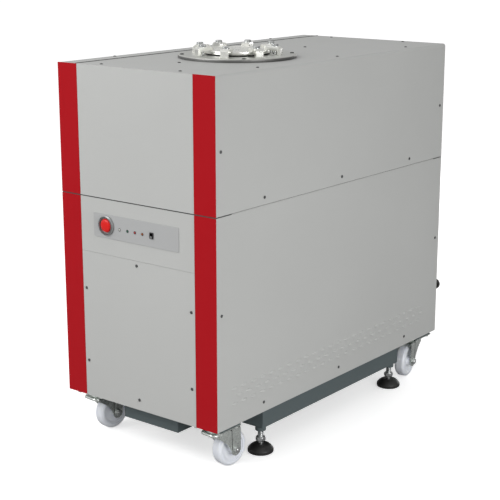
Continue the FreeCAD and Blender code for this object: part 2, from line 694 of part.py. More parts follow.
def post_notches(bottom, top):
    """Blocks that clear the return at the seam for the front and rear posts on the right."""
    reach = POST_LEG + PANEL_GAP
    front, back = SIDE_Y0 + SHEET, SIDE_Y1 - SHEET
    x0, x1 = MID_X, HALF_W - SHEET
    return [box(x0, x1, front, front + reach, bottom, top), box(x0, x1, back - reach, back, bottom, top)]


def make_side_panels():
    """Lower side panels, folded on all four edges."""
    sheet = prism(c_section(BASE_Z, LOWER_TOP), "y", SIDE_Y0, SIDE_Y1)
    ends = [
        box(MID_X, HALF_W, SIDE_Y0, SIDE_Y0 + SHEET, BASE_Z, LOWER_TOP),
        box(MID_X, HALF_W, SIDE_Y1 - SHEET, SIDE_Y1, BASE_Z, LOWER_TOP),
    ]
    panel = cut(fuse([sheet] + ends), post_notches(LOWER_TOP - SHEET, LOWER_TOP))
    save("side_panel_right", panel)
    save("side_panel_left", mirror_x(panel))


def hood(seam_x):
    """Bent hood on the right: side wall, soft bend and roof sheet up to a seam, folded at its ends."""
    edge = seam_x + SHEET
    arc_c = (HALF_W - BEND_R, TOP_Z - BEND_R)
    diagonal = math.sqrt(0.5)
    outer_mid = (arc_c[0] + BEND_R * diagonal, arc_c[1] + BEND_R * diagonal)
    inner_r = BEND_R - SHEET
    inner_mid = (arc_c[0] + inner_r * diagonal, arc_c[1] + inner_r * diagonal)
    fold = TOP_Z - SIDE_RETURN
    outline = [
        (MID_X, UPPER_BOTTOM), (HALF_W, UPPER_BOTTOM), (HALF_W, arc_c[1]),
        ("arc", outer_mid, (arc_c[0], TOP_Z)), (seam_x, TOP_Z), (seam_x, fold), (edge, fold),
        (edge, ROOF_UNDER), (arc_c[0], ROOF_UNDER), ("arc", inner_mid, (HALF_W - SHEET, arc_c[1])),
        (HALF_W - SHEET, UPPER_BOTTOM + SHEET), (MID_X, UPPER_BOTTOM + SHEET),
    ]
    end = [
        (MID_X, UPPER_BOTTOM), (HALF_W, UPPER_BOTTOM), (HALF_W, arc_c[1]),
        ("arc", outer_mid, (arc_c[0], TOP_Z)), (seam_x, TOP_Z), (seam_x, fold), (MID_X, fold),
    ]
    bent = fuse([
        prism(outline, "y", SIDE_Y0, SIDE_Y1),
        prism(end, "y", SIDE_Y0, SIDE_Y0 + SHEET),
        prism(end, "y", SIDE_Y1 - SHEET, SIDE_Y1),
    ])
    return cut(bent, post_notches(UPPER_BOTTOM, UPPER_BOTTOM + SHEET))


def make_hoods():
    """Right hood with the roof and the inlet opening, and left hood with the rim on the roof."""
    rim_edge = HALF_W - RIM_W
    right = hood(-rim_edge + ROOF_SEAM / 2)
    hole = cylinder(ROOF_HOLE_R, (INLET_X, INLET_Y, ROOF_UNDER - SHEET), 3 * SHEET)
    save("hood_right", right.cut(hole))
    save("hood_left", mirror_x(hood(rim_edge + ROOF_SEAM / 2)))


def front_panel(bottom, top, fold_top):
    """Front panel between the corner strips, folded back at its sides and foot."""
    parts = [
        box(-PANEL_HALF, PANEL_HALF, FRONT_Y, FRONT_Y + SHEET, bottom, top),
        box(-PANEL_HALF, PANEL_HALF, FRONT_Y, FOLD_Y, bottom, bottom + SHEET),
        box(-PANEL_HALF, -PANEL_HALF + SHEET, FRONT_Y, FOLD_Y, bottom, fold_top),
        box(PANEL_HALF - SHEET, PANEL_HALF, FRONT_Y, FOLD_Y, bottom, fold_top),
    ]
    return fuse(parts)


def control_holes():
    """Cylinders and a block that open the fascia and its label for the controls."""
    y = FRONT_Y - 2 * LABEL_T
    depth = 2 * LABEL_T + 2 * SHEET
    tools = [cylinder(ESTOP_CUP_R + ESTOP_CUP_WALL, (ESTOP_X, y, ESTOP_Z), depth, "y")]
    tools += [cylinder(LAMP_STEM_R, (x, y, LAMP_Z), depth, "y") for x in LAMP_X]
    tools.append(box(WINDOW_X - WINDOW_W / 2, WINDOW_X + WINDOW_W / 2, y, y + depth,
                     WINDOW_Z - WINDOW_H / 2, WINDOW_Z + WINDOW_H / 2))
    return tools


def make_front():
    """Front panels, control fascia and red corner strips."""
    save("front_panel_lower", front_panel(BASE_Z, FASCIA_Z - PANEL_GAP, FASCIA_Z - PANEL_GAP))
    save("control_fascia", cut(front_panel(FASCIA_Z, LOWER_TOP, LOWER_TOP), control_holes()))
    under_roof = TOP_Z - SIDE_RETURN - 2 * SHEET
    save("front_panel_upper", front_panel(UPPER_BOTTOM, TOP_Z, under_roof))
    strips = []
    for bottom, top, fold_top in ((BASE_Z, LOWER_TOP, LOWER_TOP), (UPPER_BOTTOM, TOP_Z, under_roof)):
        strip = fuse([
            box(STRIP_IN, HALF_W, FRONT_Y, FRONT_Y + SHEET, bottom, top),
            box(STRIP_IN, STRIP_IN + SHEET, FRONT_Y, FOLD_Y, bottom, fold_top),
        ])
        strips += [strip, mirror_x(strip)]
    save("corner_strips", strips)


def make_rear_panels():
    """Flat rear panels, screwed to the rear posts."""
    half = MID_X - PANEL_GAP
    lower = box(-half, half, REAR_Y - SHEET, REAR_Y, BASE_Z, LOWER_TOP)
    upper = box(-half, half, REAR_Y - SHEET, REAR_Y, UPPER_BOTTOM, TOP_Z - SIDE_RETURN - PANEL_GAP)
    save("rear_panels", [cut(lower, rear_holes()), upper])


# Control panel
def make_controls():
    """Label plate, lamps, window and the emergency stop."""
    face = FRONT_Y - LABEL_T
    x0, x1 = LABEL_X - LABEL_W / 2, LABEL_X + LABEL_W / 2
    z0, z1 = LABEL_Z - LABEL_H / 2, LABEL_Z + LABEL_H / 2
    plate = box(x0, x1, face, FRONT_Y, z0, z1)
    corners = [e for e in plate.Edges if abs(e.Length - LABEL_T) < 1e-6]
    plate = plate.makeFillet(LABEL_R, corners)
    save("label_plate", cut(plate, control_holes()))
    inside = FRONT_Y + SHEET
    lamps = []
    for x in LAMP_X:
        reach = inside - face
        lamps.append(revolve([
            (0, -LAMP_H), (LAMP_R * 0.7, -LAMP_H + 0.4), (LAMP_R, -0.4), (LAMP_R, 0), (LAMP_STEM_R, 0),
            (LAMP_STEM_R, reach), (0, reach),
        ], (x, face, LAMP_Z), "y"))
    save("indicator_lamps", lamps)
    save("service_window", box(
        WINDOW_X - WINDOW_W / 2, WINDOW_X + WINDOW_W / 2, face - WINDOW_PROUD, inside,
        WINDOW_Z - WINDOW_H / 2, WINDOW_Z + WINDOW_H / 2))
    make_emergency_stop(face, inside)


def make_emergency_stop(face, inside):
    """Mushroom button that sinks into the cup of its collar; the contact block is behind the fascia."""
    collar_front = face - ESTOP_COLLAR_T
    cap_front = FRONT_Y - ESTOP_REACH
    cap_back = cap_front + ESTOP_CAP_T
    cup_floor = FRONT_Y + ESTOP_CUP_IN
    block_front = cup_floor + ESTOP_FLOOR_T
    block_back = block_front + ESTOP_BLOCK_L
    shaft_end = block_front + ESTOP_SHAFT_IN
    bore = ESTOP_SHAFT_R + RUN
    bore_end = shaft_end + 2 * ESTOP_TRAVEL
    cup_out = ESTOP_CUP_R + ESTOP_CUP_WALL
    nut_r = cup_out + ESTOP_NUT
    collar = revolve([
        (bore, cup_floor), (ESTOP_CUP_R, cup_floor), (ESTOP_CUP_R, collar_front),
        (ESTOP_COLLAR_R - ESTOP_BEVEL, collar_front), (ESTOP_COLLAR_R, collar_front + ESTOP_BEVEL),
        (ESTOP_COLLAR_R, face), (cup_out, face), (cup_out, inside), (nut_r, inside), (nut_r, block_front),
        (bore, block_front),
    ], (ESTOP_X, 0, ESTOP_Z), "y")
    block = box(ESTOP_X - ESTOP_BLOCK_W / 2, ESTOP_X + ESTOP_BLOCK_W / 2, block_front, block_back,
                ESTOP_Z - ESTOP_BLOCK_H / 2, ESTOP_Z + ESTOP_BLOCK_H / 2)
    well = cylinder(bore, (ESTOP_X, block_front, ESTOP_Z), bore_end - block_front, "y")
    save("estop_collar", fuse([collar, block.cut(well)]))
    r, dome = ESTOP_CAP_R, 0.4 * ESTOP_CAP_T
    cap = revolve([
        (0, cap_front), ("arc", (0.6 * r, cap_front + 0.28 * dome), (0.95 * r, cap_front + 0.7 * dome)),
        (r, cap_front + dome), (r, cap_back - 0.4 * dome), (0.8 * r, cap_back), (ESTOP_SHAFT_R, cap_back),
        (ESTOP_SHAFT_R, shaft_end), (0, shaft_end),
    ], (ESTOP_X, 0, ESTOP_Z), "y")
    save("estop_button", cap)


def make_control_box():
    """Electrical box behind the fascia, open at the back, hung from the seam rail by its lid."""
    half, front = BOX_HALF, FOLD_Y + BOX_BACK
    back = front + BOX_DEPTH
    low, high = FASCIA_Z + BOX_MARGIN, SEAM_Z - BOX_MARGIN
    shell = box(-half, half, front, back, low, high)
    shell = shell.cut(box(-half + SHEET, half - SHEET, front + SHEET, back, low + SHEET, high - SHEET))
    lid = box(-half, half, FOLD_Y + POST_T, front, high - SHEET, high)
    save("control_box", fuse([shell, lid]))


# Roof inlet
def make_inlet():
    """Flange plate on the roof, pipe to the booster, seal, blank and its claws."""
    at = (INLET_X, INLET_Y, 0)
    plate = revolve([
        (INLET_BORE_R, TOP_Z), (INLET_PLATE_R, TOP_Z), (INLET_PLATE_R, INLET_TOP - FLANGE_EDGE),
        (INLET_PLATE_R - FLANGE_EDGE, INLET_TOP), (INLET_BORE_R, INLET_TOP),
    ], at)
    claw_holes = []
    claws = []
    bolts = []
    for k in range(CLAW_COUNT):
        angle = CLAW_TURN + 360.0 * k / CLAW_COUNT
        claw, bolt = claw_and_bolt()
        claw_holes.append(turned(cylinder(CLAW_SHANK_R, (CLAW_BOLT_R, 0, TOP_Z), INLET_PLATE_T), angle, (0, 0, 0)))
        claws.append(moved(turned(claw, angle, (0, 0, 0)), at))
        bolts.append(moved(turned(bolt, angle, (0, 0, 0)), at))
    save("inlet_plate", cut(plate, [moved(h, at) for h in claw_holes]))
    save("claw_clamps", claws)
    save("claw_bolts", bolts)
    pipe_r = INLET_BORE_R + INLET_PIPE_T
    save("inlet_pipe", revolve([
        (INLET_BORE_R, BOOSTER_TOP_Z), (BOOSTER_FLANGE_R, BOOSTER_TOP_Z),
        (BOOSTER_FLANGE_R, BOOSTER_TOP_Z + DUCT_FLANGE_T), (pipe_r, BOOSTER_TOP_Z + DUCT_FLANGE_T),
        (pipe_r, TOP_Z), (INLET_BORE_R, TOP_Z),
    ], at))
    centring = revolve([
        (INLET_BORE_R, INLET_TOP), (SEAL_R, INLET_TOP), (SEAL_R, BLANK_Z), (INLET_BORE_R, BLANK_Z),
    ], at)
    seal_r = SEAL_R + SEAL_W
    seal = revolve([
        (SEAL_R, INLET_TOP), (seal_r - SEAL_CROWN, INLET_TOP), (seal_r, INLET_TOP + SEAL_GAP / 2),
        (seal_r - SEAL_CROWN, BLANK_Z), (SEAL_R, BLANK_Z),
    ], at)
    save("inlet_seal", [centring, seal])
    dish_r, dish_z = BLANK_R - BLANK_RIM, BLANK_TOP - FLANGE_EDGE
    save("blank_flange", revolve([
        (0, BLANK_Z), (BLANK_R, BLANK_Z), (BLANK_R, dish_z), (BLANK_R - FLANGE_EDGE, BLANK_TOP),
        (dish_r, BLANK_TOP), (dish_r - FLANGE_EDGE, dish_z), (0, dish_z),
    ], at))


def claw_and_bolt():
    """One claw along +X from the flange's centre: nose on the blank, heel on the plate, bolt between."""
    heel_in = CLAW_OUT_R - CLAW_HEEL
    step = BLANK_TOP - CLAW_STEP
    outline = [
        (CLAW_IN_R, BLANK_TOP), (CLAW_IN_R, CLAW_TOP - CLAW_NOSE_DROP), (CLAW_IN_R + CLAW_NOSE, CLAW_TOP),
        (CLAW_OUT_R - CLAW_SLOPE_W, CLAW_TOP), (CLAW_OUT_R, CLAW_TOP - CLAW_SLOPE_H), (CLAW_OUT_R, INLET_TOP),
        (heel_in, INLET_TOP), (heel_in, step), (BLANK_R + 2 * CLAW_STEP, step), (BLANK_R + CLAW_STEP, BLANK_TOP),
    ]
    claw = prism(outline, "y", -CLAW_W / 2, CLAW_W / 2)
    claw = claw.cut(cylinder(CLAW_SHANK_R, (CLAW_BOLT_R, 0, INLET_TOP), CLAW_TOP - INLET_TOP))
    bolt = fuse([
        cylinder(CLAW_SHANK_R, (CLAW_BOLT_R, 0, TOP_Z), CLAW_TOP - TOP_Z),
        hexagon(CLAW_BOLT_AF, (CLAW_BOLT_R, 0, CLAW_TOP), CLAW_BOLT_H),
    ])
    return claw, bolt


# Rotors and gears
def lobe_outline(pitch_r, clearance):
    """Two-lobed rotor profile: outer arches roll on the pitch circle, inner arches roll inside it."""
    roll = pitch_r / 4
    nominal = []
    for arch in range(4):
        for k in range(LOBE_POINTS):
            t = math.radians(-45 + 90 * arch + 90.0 * k / LOBE_POINTS)
            local = t - math.radians(-45 + 90 * arch)
            base = math.radians(-45 + 90 * arch)
            if arch % 2 == 0:
                x = (pitch_r + roll) * math.cos(local) - roll * math.cos(5 * local)
                y = (pitch_r + roll) * math.sin(local) - roll * math.sin(5 * local)
            else:
                x = (pitch_r - roll) * math.cos(local) + roll * math.cos(3 * local)
                y = (pitch_r - roll) * math.sin(local) - roll * math.sin(3 * local)
            nominal.append((x * math.cos(base) - y * math.sin(base), x * math.sin(base) + y * math.cos(base)))
    points = []
    count = len(nominal)
    for k, (x, y) in enumerate(nominal):
        (xa, ya), (xb, yb) = nominal[k - 1], nominal[(k + 1) % count]
        length = math.hypot(xb - xa, yb - ya)
        points.append((x - clearance * (yb - ya) / length, y + clearance * (xb - xa) / length))
    return points


def lobe_rotor(x, quarter_turn):
    """Lobed rotor with its two shaft ends, turned a quarter against its neighbour when asked."""
    outline = lobe_outline(LOBE_PITCH_R, LOBE_CLEARANCE)
    if quarter_turn:
        outline = [(-b, a) for a, b in outline]
    y0, y1 = BOOSTER_Y0 + SIDE_RUN, BOOSTER_Y1 - SIDE_RUN
    curve = Part.BSplineCurve()
    curve.interpolate([V(x + a, y0, BOOSTER_Z + b) for a, b in outline], PeriodicFlag=True)
    return Part.Face(Part.Wire(curve.toShape())).extrude(V(0, y1 - y0, 0))


def screw_section(radius, root, clearance):
    """Cross-section of a single-start screw.

    Tip and root are half circles. Each flank is the path that the tip corner of the other rotor takes, seen from
    this one: two equal circles of half the shaft distance roll on each other. The whole is drawn back by a
    clearance.
    """
    distance = radius + root
    reach = math.acos(distance / (2 * radius))
    flank = []
    for k in range(FLANK_STEPS + 1):
        t = reach * (1 - k / FLANK_STEPS)
        rho = math.sqrt(distance ** 2 + radius ** 2 - 2 * distance * radius * math.cos(t))
        lean = math.atan2(radius * math.sin(t), distance - radius * math.cos(t)) - t
        shift = lean + clearance / rho
        rho = min(rho, radius - clearance) if k == 0 else max(rho - clearance, root - clearance)
        flank.append((rho, -shift))
    tip = [(radius - clearance, -math.pi * k / ARC_STEPS) for k in range(1, ARC_STEPS)]
    bottom = [(root - clearance, math.pi * k / ARC_STEPS) for k in range(1, ARC_STEPS)]
    other = [(rho, -math.pi - angle) for rho, angle in flank]
    polar = list(reversed(flank)) + tip + other + [(r, a - 2 * math.pi) for r, a in reversed(bottom)]
    return [(rho * math.cos(a), rho * math.sin(a)) for rho, a in polar]


def screw_body(x, hand, half_turn):
    """Twisted body of one screw, lofted through turned copies of its section."""
    section = screw_section(SCREW_R, 2 * SCREW_PITCH_R - SCREW_R, SCREW_CLEARANCE)
    length = SCREW_LENGTH - 2 * SIDE_RUN
    steps = int(round(length / SCREW_LEAD * SCREW_STEPS_PER_TURN))
    wires = []
    for k in range(steps + 1):
        along = SCREW_Y0 + SIDE_RUN + length * k / steps
        angle = hand * 2 * math.pi * length * k / steps / SCREW_LEAD + (math.pi if half_turn else 0)
        c, s = math.cos(angle), math.sin(angle)
        points = [V(x + a * c - b * s, along, SCREW_Z + a * s + b * c) for a, b in section]
        wires.append(Part.makePolygon(points + points[:1]))
    return Part.makeLoft(wires, True, True)


def gear_outline(pitch_r, start_angle):
    """Spur gear outline with straight-sided approximations of involute flanks, drawn back by the backlash."""
    module = 2 * pitch_r / GEAR_TEETH
    alpha = math.radians(PRESSURE_ANGLE)
    base_r = pitch_r * math.cos(alpha)
    half_pitch = math.pi / 2 / GEAR_TEETH - GEAR_BACKLASH / 2 / pitch_r
    inv = math.tan(alpha) - alpha

    def half_width(r):
        a = math.acos(min(1.0, base_r / r))
        return half_pitch + inv - (math.tan(a) - a)
    root_r, tip_r = pitch_r - 1.25 * module, pitch_r + module
    levels = [(root_r, half_width(base_r)), (pitch_r, half_width(pitch_r)), (tip_r, half_width(tip_r))]
    points = []
    for k in range(GEAR_TEETH):
        centre = start_angle + 2 * math.pi * k / GEAR_TEETH
        for r, w in levels:
            points.append((r * math.cos(centre - w), r * math.sin(centre - w)))
        for r, w in reversed(levels):
            points.append((r * math.cos(centre + w), r * math.sin(centre + w)))
    return points


def gear(x, z, pitch_r, y, half_tooth, bore):
    """Timing gear on a shaft along Y."""
    start = math.pi / GEAR_TEETH if half_tooth else 0.0
    outline = [(x + a, z + b) for a, b in gear_outline(pitch_r, start)]
    return prism(outline, "y", y, y + GEAR_W).cut(cylinder(bore, (x, y, z), GEAR_W, "y"))


def make_rotors():
    """Both rotor pairs with shafts and timing gears."""
    gear_y = BOOSTER_Y0 - BOOSTER_PLATE_T - GEAR_SIDE - GEAR_W
    front_end = gear_y - SHAFT_END
    for name, x, quarter, motor in (("drive", BOOSTER_X[0], False, True), ("idle", BOOSTER_X[1], True, False)):
        back_end = BOOSTER_Y1 + BOOSTER_PLATE_T + (SHAFT_INTO_MOTOR if motor else -SHAFT_SHORT)
        shaft = cylinder(BOOSTER_SHAFT_R, (x, front_end, BOOSTER_Z), back_end - front_end, "y")
        wheel = gear(x, BOOSTER_Z, LOBE_PITCH_R, gear_y, not motor, BOOSTER_SHAFT_R)
        save("booster_rotor_" + name, [fuse([lobe_rotor(x, quarter), shaft]), wheel])
    gear_y = SCREW_Y1 + SCREW_PLATE_T + GEAR_SIDE
    to_motor, to_gear = SCREW_GEARCASE_L + SHAFT_INTO_MOTOR, GEAR_SIDE + GEAR_W + SHAFT_END
    for name, x, hand, motor in (("drive", SCREW_X[0], 1, True), ("idle", SCREW_X[1], -1, False)):
        front_end = SCREW_Y0 - SCREW_PLATE_T + SHAFT_SHORT
        back_end = SCREW_Y1 + SCREW_PLATE_T + (to_motor if motor else to_gear)
        shaft = cylinder(SCREW_SHAFT_R, (x, front_end, SCREW_Z), back_end - front_end, "y")
        save("screw_rotor_" + name, fuse([screw_body(x, hand, motor), shaft]))
        save("screw_gear_" + name, gear(x, SCREW_Z, SCREW_PITCH_R, gear_y, not motor, SCREW_SHAFT_R))


def make_bearings():
    """One bearing ring in each bore of the four end plates."""
    places = []
    for x in BOOSTER_X:
        places.append((x, BOOSTER_Z, BOOSTER_Y0 - BOOSTER_PLATE_T, BOOSTER_SHAFT_R))
        places.append((x, BOOSTER_Z, BOOSTER_Y1 + BOOSTER_PLATE_T - BEARING_W, BOOSTER_SHAFT_R))
    for x in SCREW_X:
        places.append((x, SCREW_Z, SCREW_Y0 - SCREW_PLATE_T, SCREW_SHAFT_R))
        places.append((x, SCREW_Z, SCREW_Y1 + SCREW_PLATE_T - BEARING_W, SCREW_SHAFT_R))
    save("shaft_bearings", [ring(BEARING_R, r + RUN, (x, y, z), BEARING_W, "y") for x, z, y, r in places])


# Booster casing and drive
def booster_foot_places():
    """Y positions of the booster's feet, near both ends of its casing."""
    return (BOOSTER_Y0 + BOOSTER_FOOT_INSET, BOOSTER_Y1 - BOOSTER_FOOT_INSET)


def end_plate(xs, z, outer, y0, thickness, shaft_r, bearing_at_low_end):
    """Flat end plate with bearing seats open on one side and shaft holes through the rest."""
    plate = twin_hull(xs, z, outer, y0, y0 + thickness)
    seat_y = y0 if bearing_at_low_end else y0 + thickness - BEARING_W
    tools = []
    for x in xs:
        tools.append(cylinder(BEARING_R, (x, seat_y, z), BEARING_W, "y"))
        tools.append(cylinder(shaft_r + SIDE_RUN, (x, y0, z), thickness, "y"))
    return cut(plate, tools)


def make_booster():
    """Booster casing with ports and feet, end plates, gear case and canned motor."""
    wall_r = LOBE_R + BOOSTER_WALL
    y0, y1 = BOOSTER_Y0, BOOSTER_Y1
    body = [
        twin_hull(BOOSTER_X, BOOSTER_Z, wall_r, y0, y1),
        cylinder(BOOSTER_NECK_R, (INLET_X, INLET_Y, BOOSTER_Z), BOOSTER_TOP_Z - BOOSTER_Z),
        cylinder(BOOSTER_FLANGE_R, (INLET_X, INLET_Y, BOOSTER_TOP_Z - BOOSTER_FLANGE_T), BOOSTER_FLANGE_T),
        cylinder(DUCT_R + DUCT_NECK, (INLET_X, INLET_Y, DUCT_TOP_Z), BOOSTER_Z - DUCT_TOP_Z),
        cylinder(DUCT_FLANGE_R, (INLET_X, INLET_Y, DUCT_TOP_Z), DUCT_FLANGE_T),
    ]
    foot_half = LOBE_PITCH_R + wall_r * 0.6
    for y in booster_foot_places():
        for side in (-1, 1):
            x = INLET_X + side * foot_half
            web = BOOSTER_WEB_T / 2
            y_low, y_high = y - BEAM_W / 2, y + BEAM_W / 2
            body.append(box(x - web, x + web, y_low, y_high, BEAM_TOP, BOOSTER_Z))
            body.append(box(x, x + side * BOOSTER_SOLE_X, y_low, y_high, BEAM_TOP, BEAM_TOP + BOOSTER_SOLE_T))
    tools = [cylinder(LOBE_R, (x, y0, BOOSTER_Z), y1 - y0, "y") for x in BOOSTER_X]
    tools.append(box(BOOSTER_X[1], BOOSTER_X[0], y0, y1, BOOSTER_Z - LOBE_PITCH_R / 2, BOOSTER_Z + LOBE_PITCH_R / 2))
    tools.append(cylinder(INLET_BORE_R, (INLET_X, INLET_Y, BOOSTER_Z), BOOSTER_TOP_Z - BOOSTER_Z))
    tools.append(cylinder(DUCT_R - DUCT_WALL, (INLET_X, INLET_Y, DUCT_TOP_Z), BOOSTER_Z - DUCT_TOP_Z))
    save("booster_casing", cut(fuse(body), tools))
    t = BOOSTER_PLATE_T
    front = end_plate(BOOSTER_X, BOOSTER_Z, wall_r, y0 - t, t, BOOSTER_SHAFT_R, True)
    back = end_plate(BOOSTER_X, BOOSTER_Z, wall_r, y1, t, BOOSTER_SHAFT_R, False)
    case_y = y0 - t - BOOSTER_GEARCASE_L
    case_r, wall = LOBE_PITCH_R * GEARCASE_SHARE, GEARCASE_WALL
    case = twin_hull(BOOSTER_X, BOOSTER_Z, case_r, case_y, y0 - t)
    case = case.cut(twin_hull(BOOSTER_X, BOOSTER_Z, case_r - wall, case_y + wall, y0 - t))
    save("booster_end_covers", [front, back, case])
    save("booster_motor", motor(BOOSTER_X[0], BOOSTER_Z, y1 + t, BOOSTER_MOTOR_R, BOOSTER_MOTOR_L, BOOSTER_SHAFT_R))


def motor(x, z, y, radius, length, shaft_r):
    """Flange motor along +Y with a blind bore for the pump's own shaft and a stepped end bell."""
    bore = shaft_r + SIDE_RUN
    depth = SHAFT_INTO_MOTOR + SHAFT_END
    neck, step = radius - MOTOR_FLANGE_IN, radius - MOTOR_BELL_STEP
    soft = MOTOR_BELL_STEP / 2
    return revolve([
        (bore, 0), (neck, 0), (neck, MOTOR_FLANGE_T), (radius, MOTOR_FLANGE_T + soft), (radius, length - MOTOR_BELL),
        (step, length - MOTOR_BELL + soft), (step, length - soft), (step - soft, length), (0, length), (0, depth),
        (bore, depth),
    ], (x, y, z), "y")


# Screw pump casing and drive
def make_screw_pump():
    """Screw pump casing with ports, ribs and feet, end plates, gear case and motor."""
    wall_r = SCREW_R + SCREW_WALL
    y0, y1 = SCREW_Y0, SCREW_Y1
    floor = BASE_Z + SHEET
    port_x = SCREW_X[1] - wall_r - EXHAUST_PORT_REACH
    neck_z = SCREW_Z + wall_r + SCREW_RIB_H
    body = [
        twin_hull(SCREW_X, SCREW_Z, wall_r, y0, y1),
        cylinder(DUCT_R + DUCT_NECK, (INLET_X, INLET_Y, SCREW_Z), neck_z - SCREW_Z),
        cylinder(EXHAUST_BORE_R + 2 * DUCT_NECK, (port_x, EXHAUST_PORT_Y, SCREW_Z), SCREW_X[1] - port_x, "x"),
        cylinder(EXHAUST_PIPE_R + EXHAUST_BOLT_R, (port_x, EXHAUST_PORT_Y, SCREW_Z), EXHAUST_FLANGE_T, "x"),
    ]
    for share in SCREW_RIBS:
        y = y0 + share * SCREW_LENGTH
        body.append(twin_hull(SCREW_X, SCREW_Z, wall_r + SCREW_RIB_H, y - SCREW_RIB_W / 2, y + SCREW_RIB_W / 2))
    wide, narrow = SCREW_FOOT_HALF, SCREW_FOOT_TOP
    sole, saddle = floor + SCREW_SOLE_T, SCREW_Z - SCREW_R / 2
    for y in (y0 + SCREW_FOOT_INSET, y1 - SCREW_FOOT_INSET):
        foot = [
            (INLET_X - wide, floor), (INLET_X + wide, floor), (INLET_X + wide, sole),
            (INLET_X + narrow, saddle), (INLET_X - narrow, saddle), (INLET_X - wide, sole),
        ]
        body.append(prism(foot, "y", y - SCREW_FOOT_T / 2, y + SCREW_FOOT_T / 2))
    bore_r = SCREW_R
    tools = [cylinder(bore_r, (x, y0, SCREW_Z), y1 - y0, "y") for x in SCREW_X]
    tools.append(cylinder(DUCT_R - DUCT_WALL, (INLET_X, INLET_Y, SCREW_Z), DUCT_BOTTOM_Z - SCREW_Z))
    tools.append(cylinder(EXHAUST_BORE_R, (port_x, EXHAUST_PORT_Y, SCREW_Z), SCREW_X[1] - port_x, "x"))
    neck = fuse([
        cylinder(DUCT_R + DUCT_NECK, (INLET_X, INLET_Y, neck_z), DUCT_BOTTOM_Z - neck_z),
        cylinder(DUCT_FLANGE_R, (INLET_X, INLET_Y, DUCT_BOTTOM_Z - DUCT_FLANGE_T), DUCT_FLANGE_T),
    ])
    save("screw_casing", [cut(fuse(body), tools), cut(neck, tools)])
    t = SCREW_PLATE_T
    front = end_plate(SCREW_X, SCREW_Z, wall_r, y0 - t, t, SCREW_SHAFT_R, True)
    back = end_plate(SCREW_X, SCREW_Z, wall_r, y1, t, SCREW_SHAFT_R, False)
    cap = twin_hull(SCREW_X, SCREW_Z, SCREW_PITCH_R, y0 - t - SCREW_CAP_T, y0 - t)
    case_r, wall = SCREW_PITCH_R * GEARCASE_SHARE, GEARCASE_WALL
    case_y = y1 + t
    case = twin_hull(SCREW_X, SCREW_Z, case_r, case_y, case_y + SCREW_GEARCASE_L)
    case = case.cut(twin_hull(SCREW_X, SCREW_Z, case_r - wall, case_y, case_y + SCREW_GEARCASE_L - wall))
    case = case.cut(cylinder(SCREW_SHAFT_R + SIDE_RUN, (SCREW_X[0], case_y, SCREW_Z), SCREW_GEARCASE_L, "y"))
    save("screw_end_covers", [front, back, cap, case])
    save("screw_motor", motor(
        SCREW_X[0], SCREW_Z, case_y + SCREW_GEARCASE_L, SCREW_MOTOR_R, SCREW_MOTOR_L, SCREW_SHAFT_R))
    make_exhaust(port_x)


def make_exhaust(port_x):
    """Exhaust elbow, silencer and outlet pipe with a small clamping flange behind the rear panel."""
    joint_x = port_x - EXHAUST_FLANGE_T
    bend = joint_x - EXHAUST_X
    r = EXHAUST_PIPE_R
    port = V(joint_x, EXHAUST_PORT_Y, SCREW_Z)
    flange = cylinder(r + EXHAUST_BOLT_R, tuple(port), EXHAUST_FLANGE_T, "x")
    section = Part.Face(Part.Wire(Part.makeCircle(r, port, V(1, 0, 0))))
    elbow = section.revolve(port + V(0, bend, 0), V(0, 0, 1), -90)
    start = EXHAUST_PORT_Y + bend
    wide, narrow = start + SILENCER_START, start + SILENCER_START + SILENCER_L
    end = REAR_Y + REAR_REACH
    clamp = end - EXHAUST_FLANGE_T
    line = revolve([
        (0, start), (r, start), (r, wide), (SILENCER_R, wide + SILENCER_CONE), (SILENCER_R, narrow - SILENCER_CONE),
        (r, narrow), (r, clamp), (EXHAUST_FLANGE_R, end - EXHAUST_FLANGE_T / 2), (EXHAUST_FLANGE_R, end),
        (EXHAUST_BORE_R, end), (EXHAUST_BORE_R, narrow), (0, narrow),
    ], (EXHAUST_X, 0, SCREW_Z), "y")
    save("exhaust_pipe", fuse([flange, elbow, line]))


def make_duct():
    """Vertical duct from the booster to the screw pump: flanges, pipe and bellows."""
    r, bore = DUCT_R, DUCT_R - DUCT_WALL
    middle = (DUCT_TOP_Z + DUCT_BOTTOM_Z) / 2
    start = middle - BELLOWS_FOLDS * BELLOWS_PITCH / 2
    outer = [(DUCT_FLANGE_R, DUCT_BOTTOM_Z), (DUCT_FLANGE_R, DUCT_BOTTOM_Z + DUCT_FLANGE_T),
             (r, DUCT_BOTTOM_Z + DUCT_FLANGE_T)]
    for k in range(BELLOWS_FOLDS):
        z = start + k * BELLOWS_PITCH
        outer += [(r, z), (BELLOWS_R, z + BELLOWS_PITCH / 2)]
    outer += [(r, start + BELLOWS_FOLDS * BELLOWS_PITCH), (r, DUCT_TOP_Z - DUCT_FLANGE_T),
              (DUCT_FLANGE_R, DUCT_TOP_Z - DUCT_FLANGE_T), (DUCT_FLANGE_R, DUCT_TOP_Z)]
    save("interstage_duct", revolve([(bore, DUCT_BOTTOM_Z)] + outer + [(bore, DUCT_TOP_Z)], (INLET_X, INLET_Y, 0)))


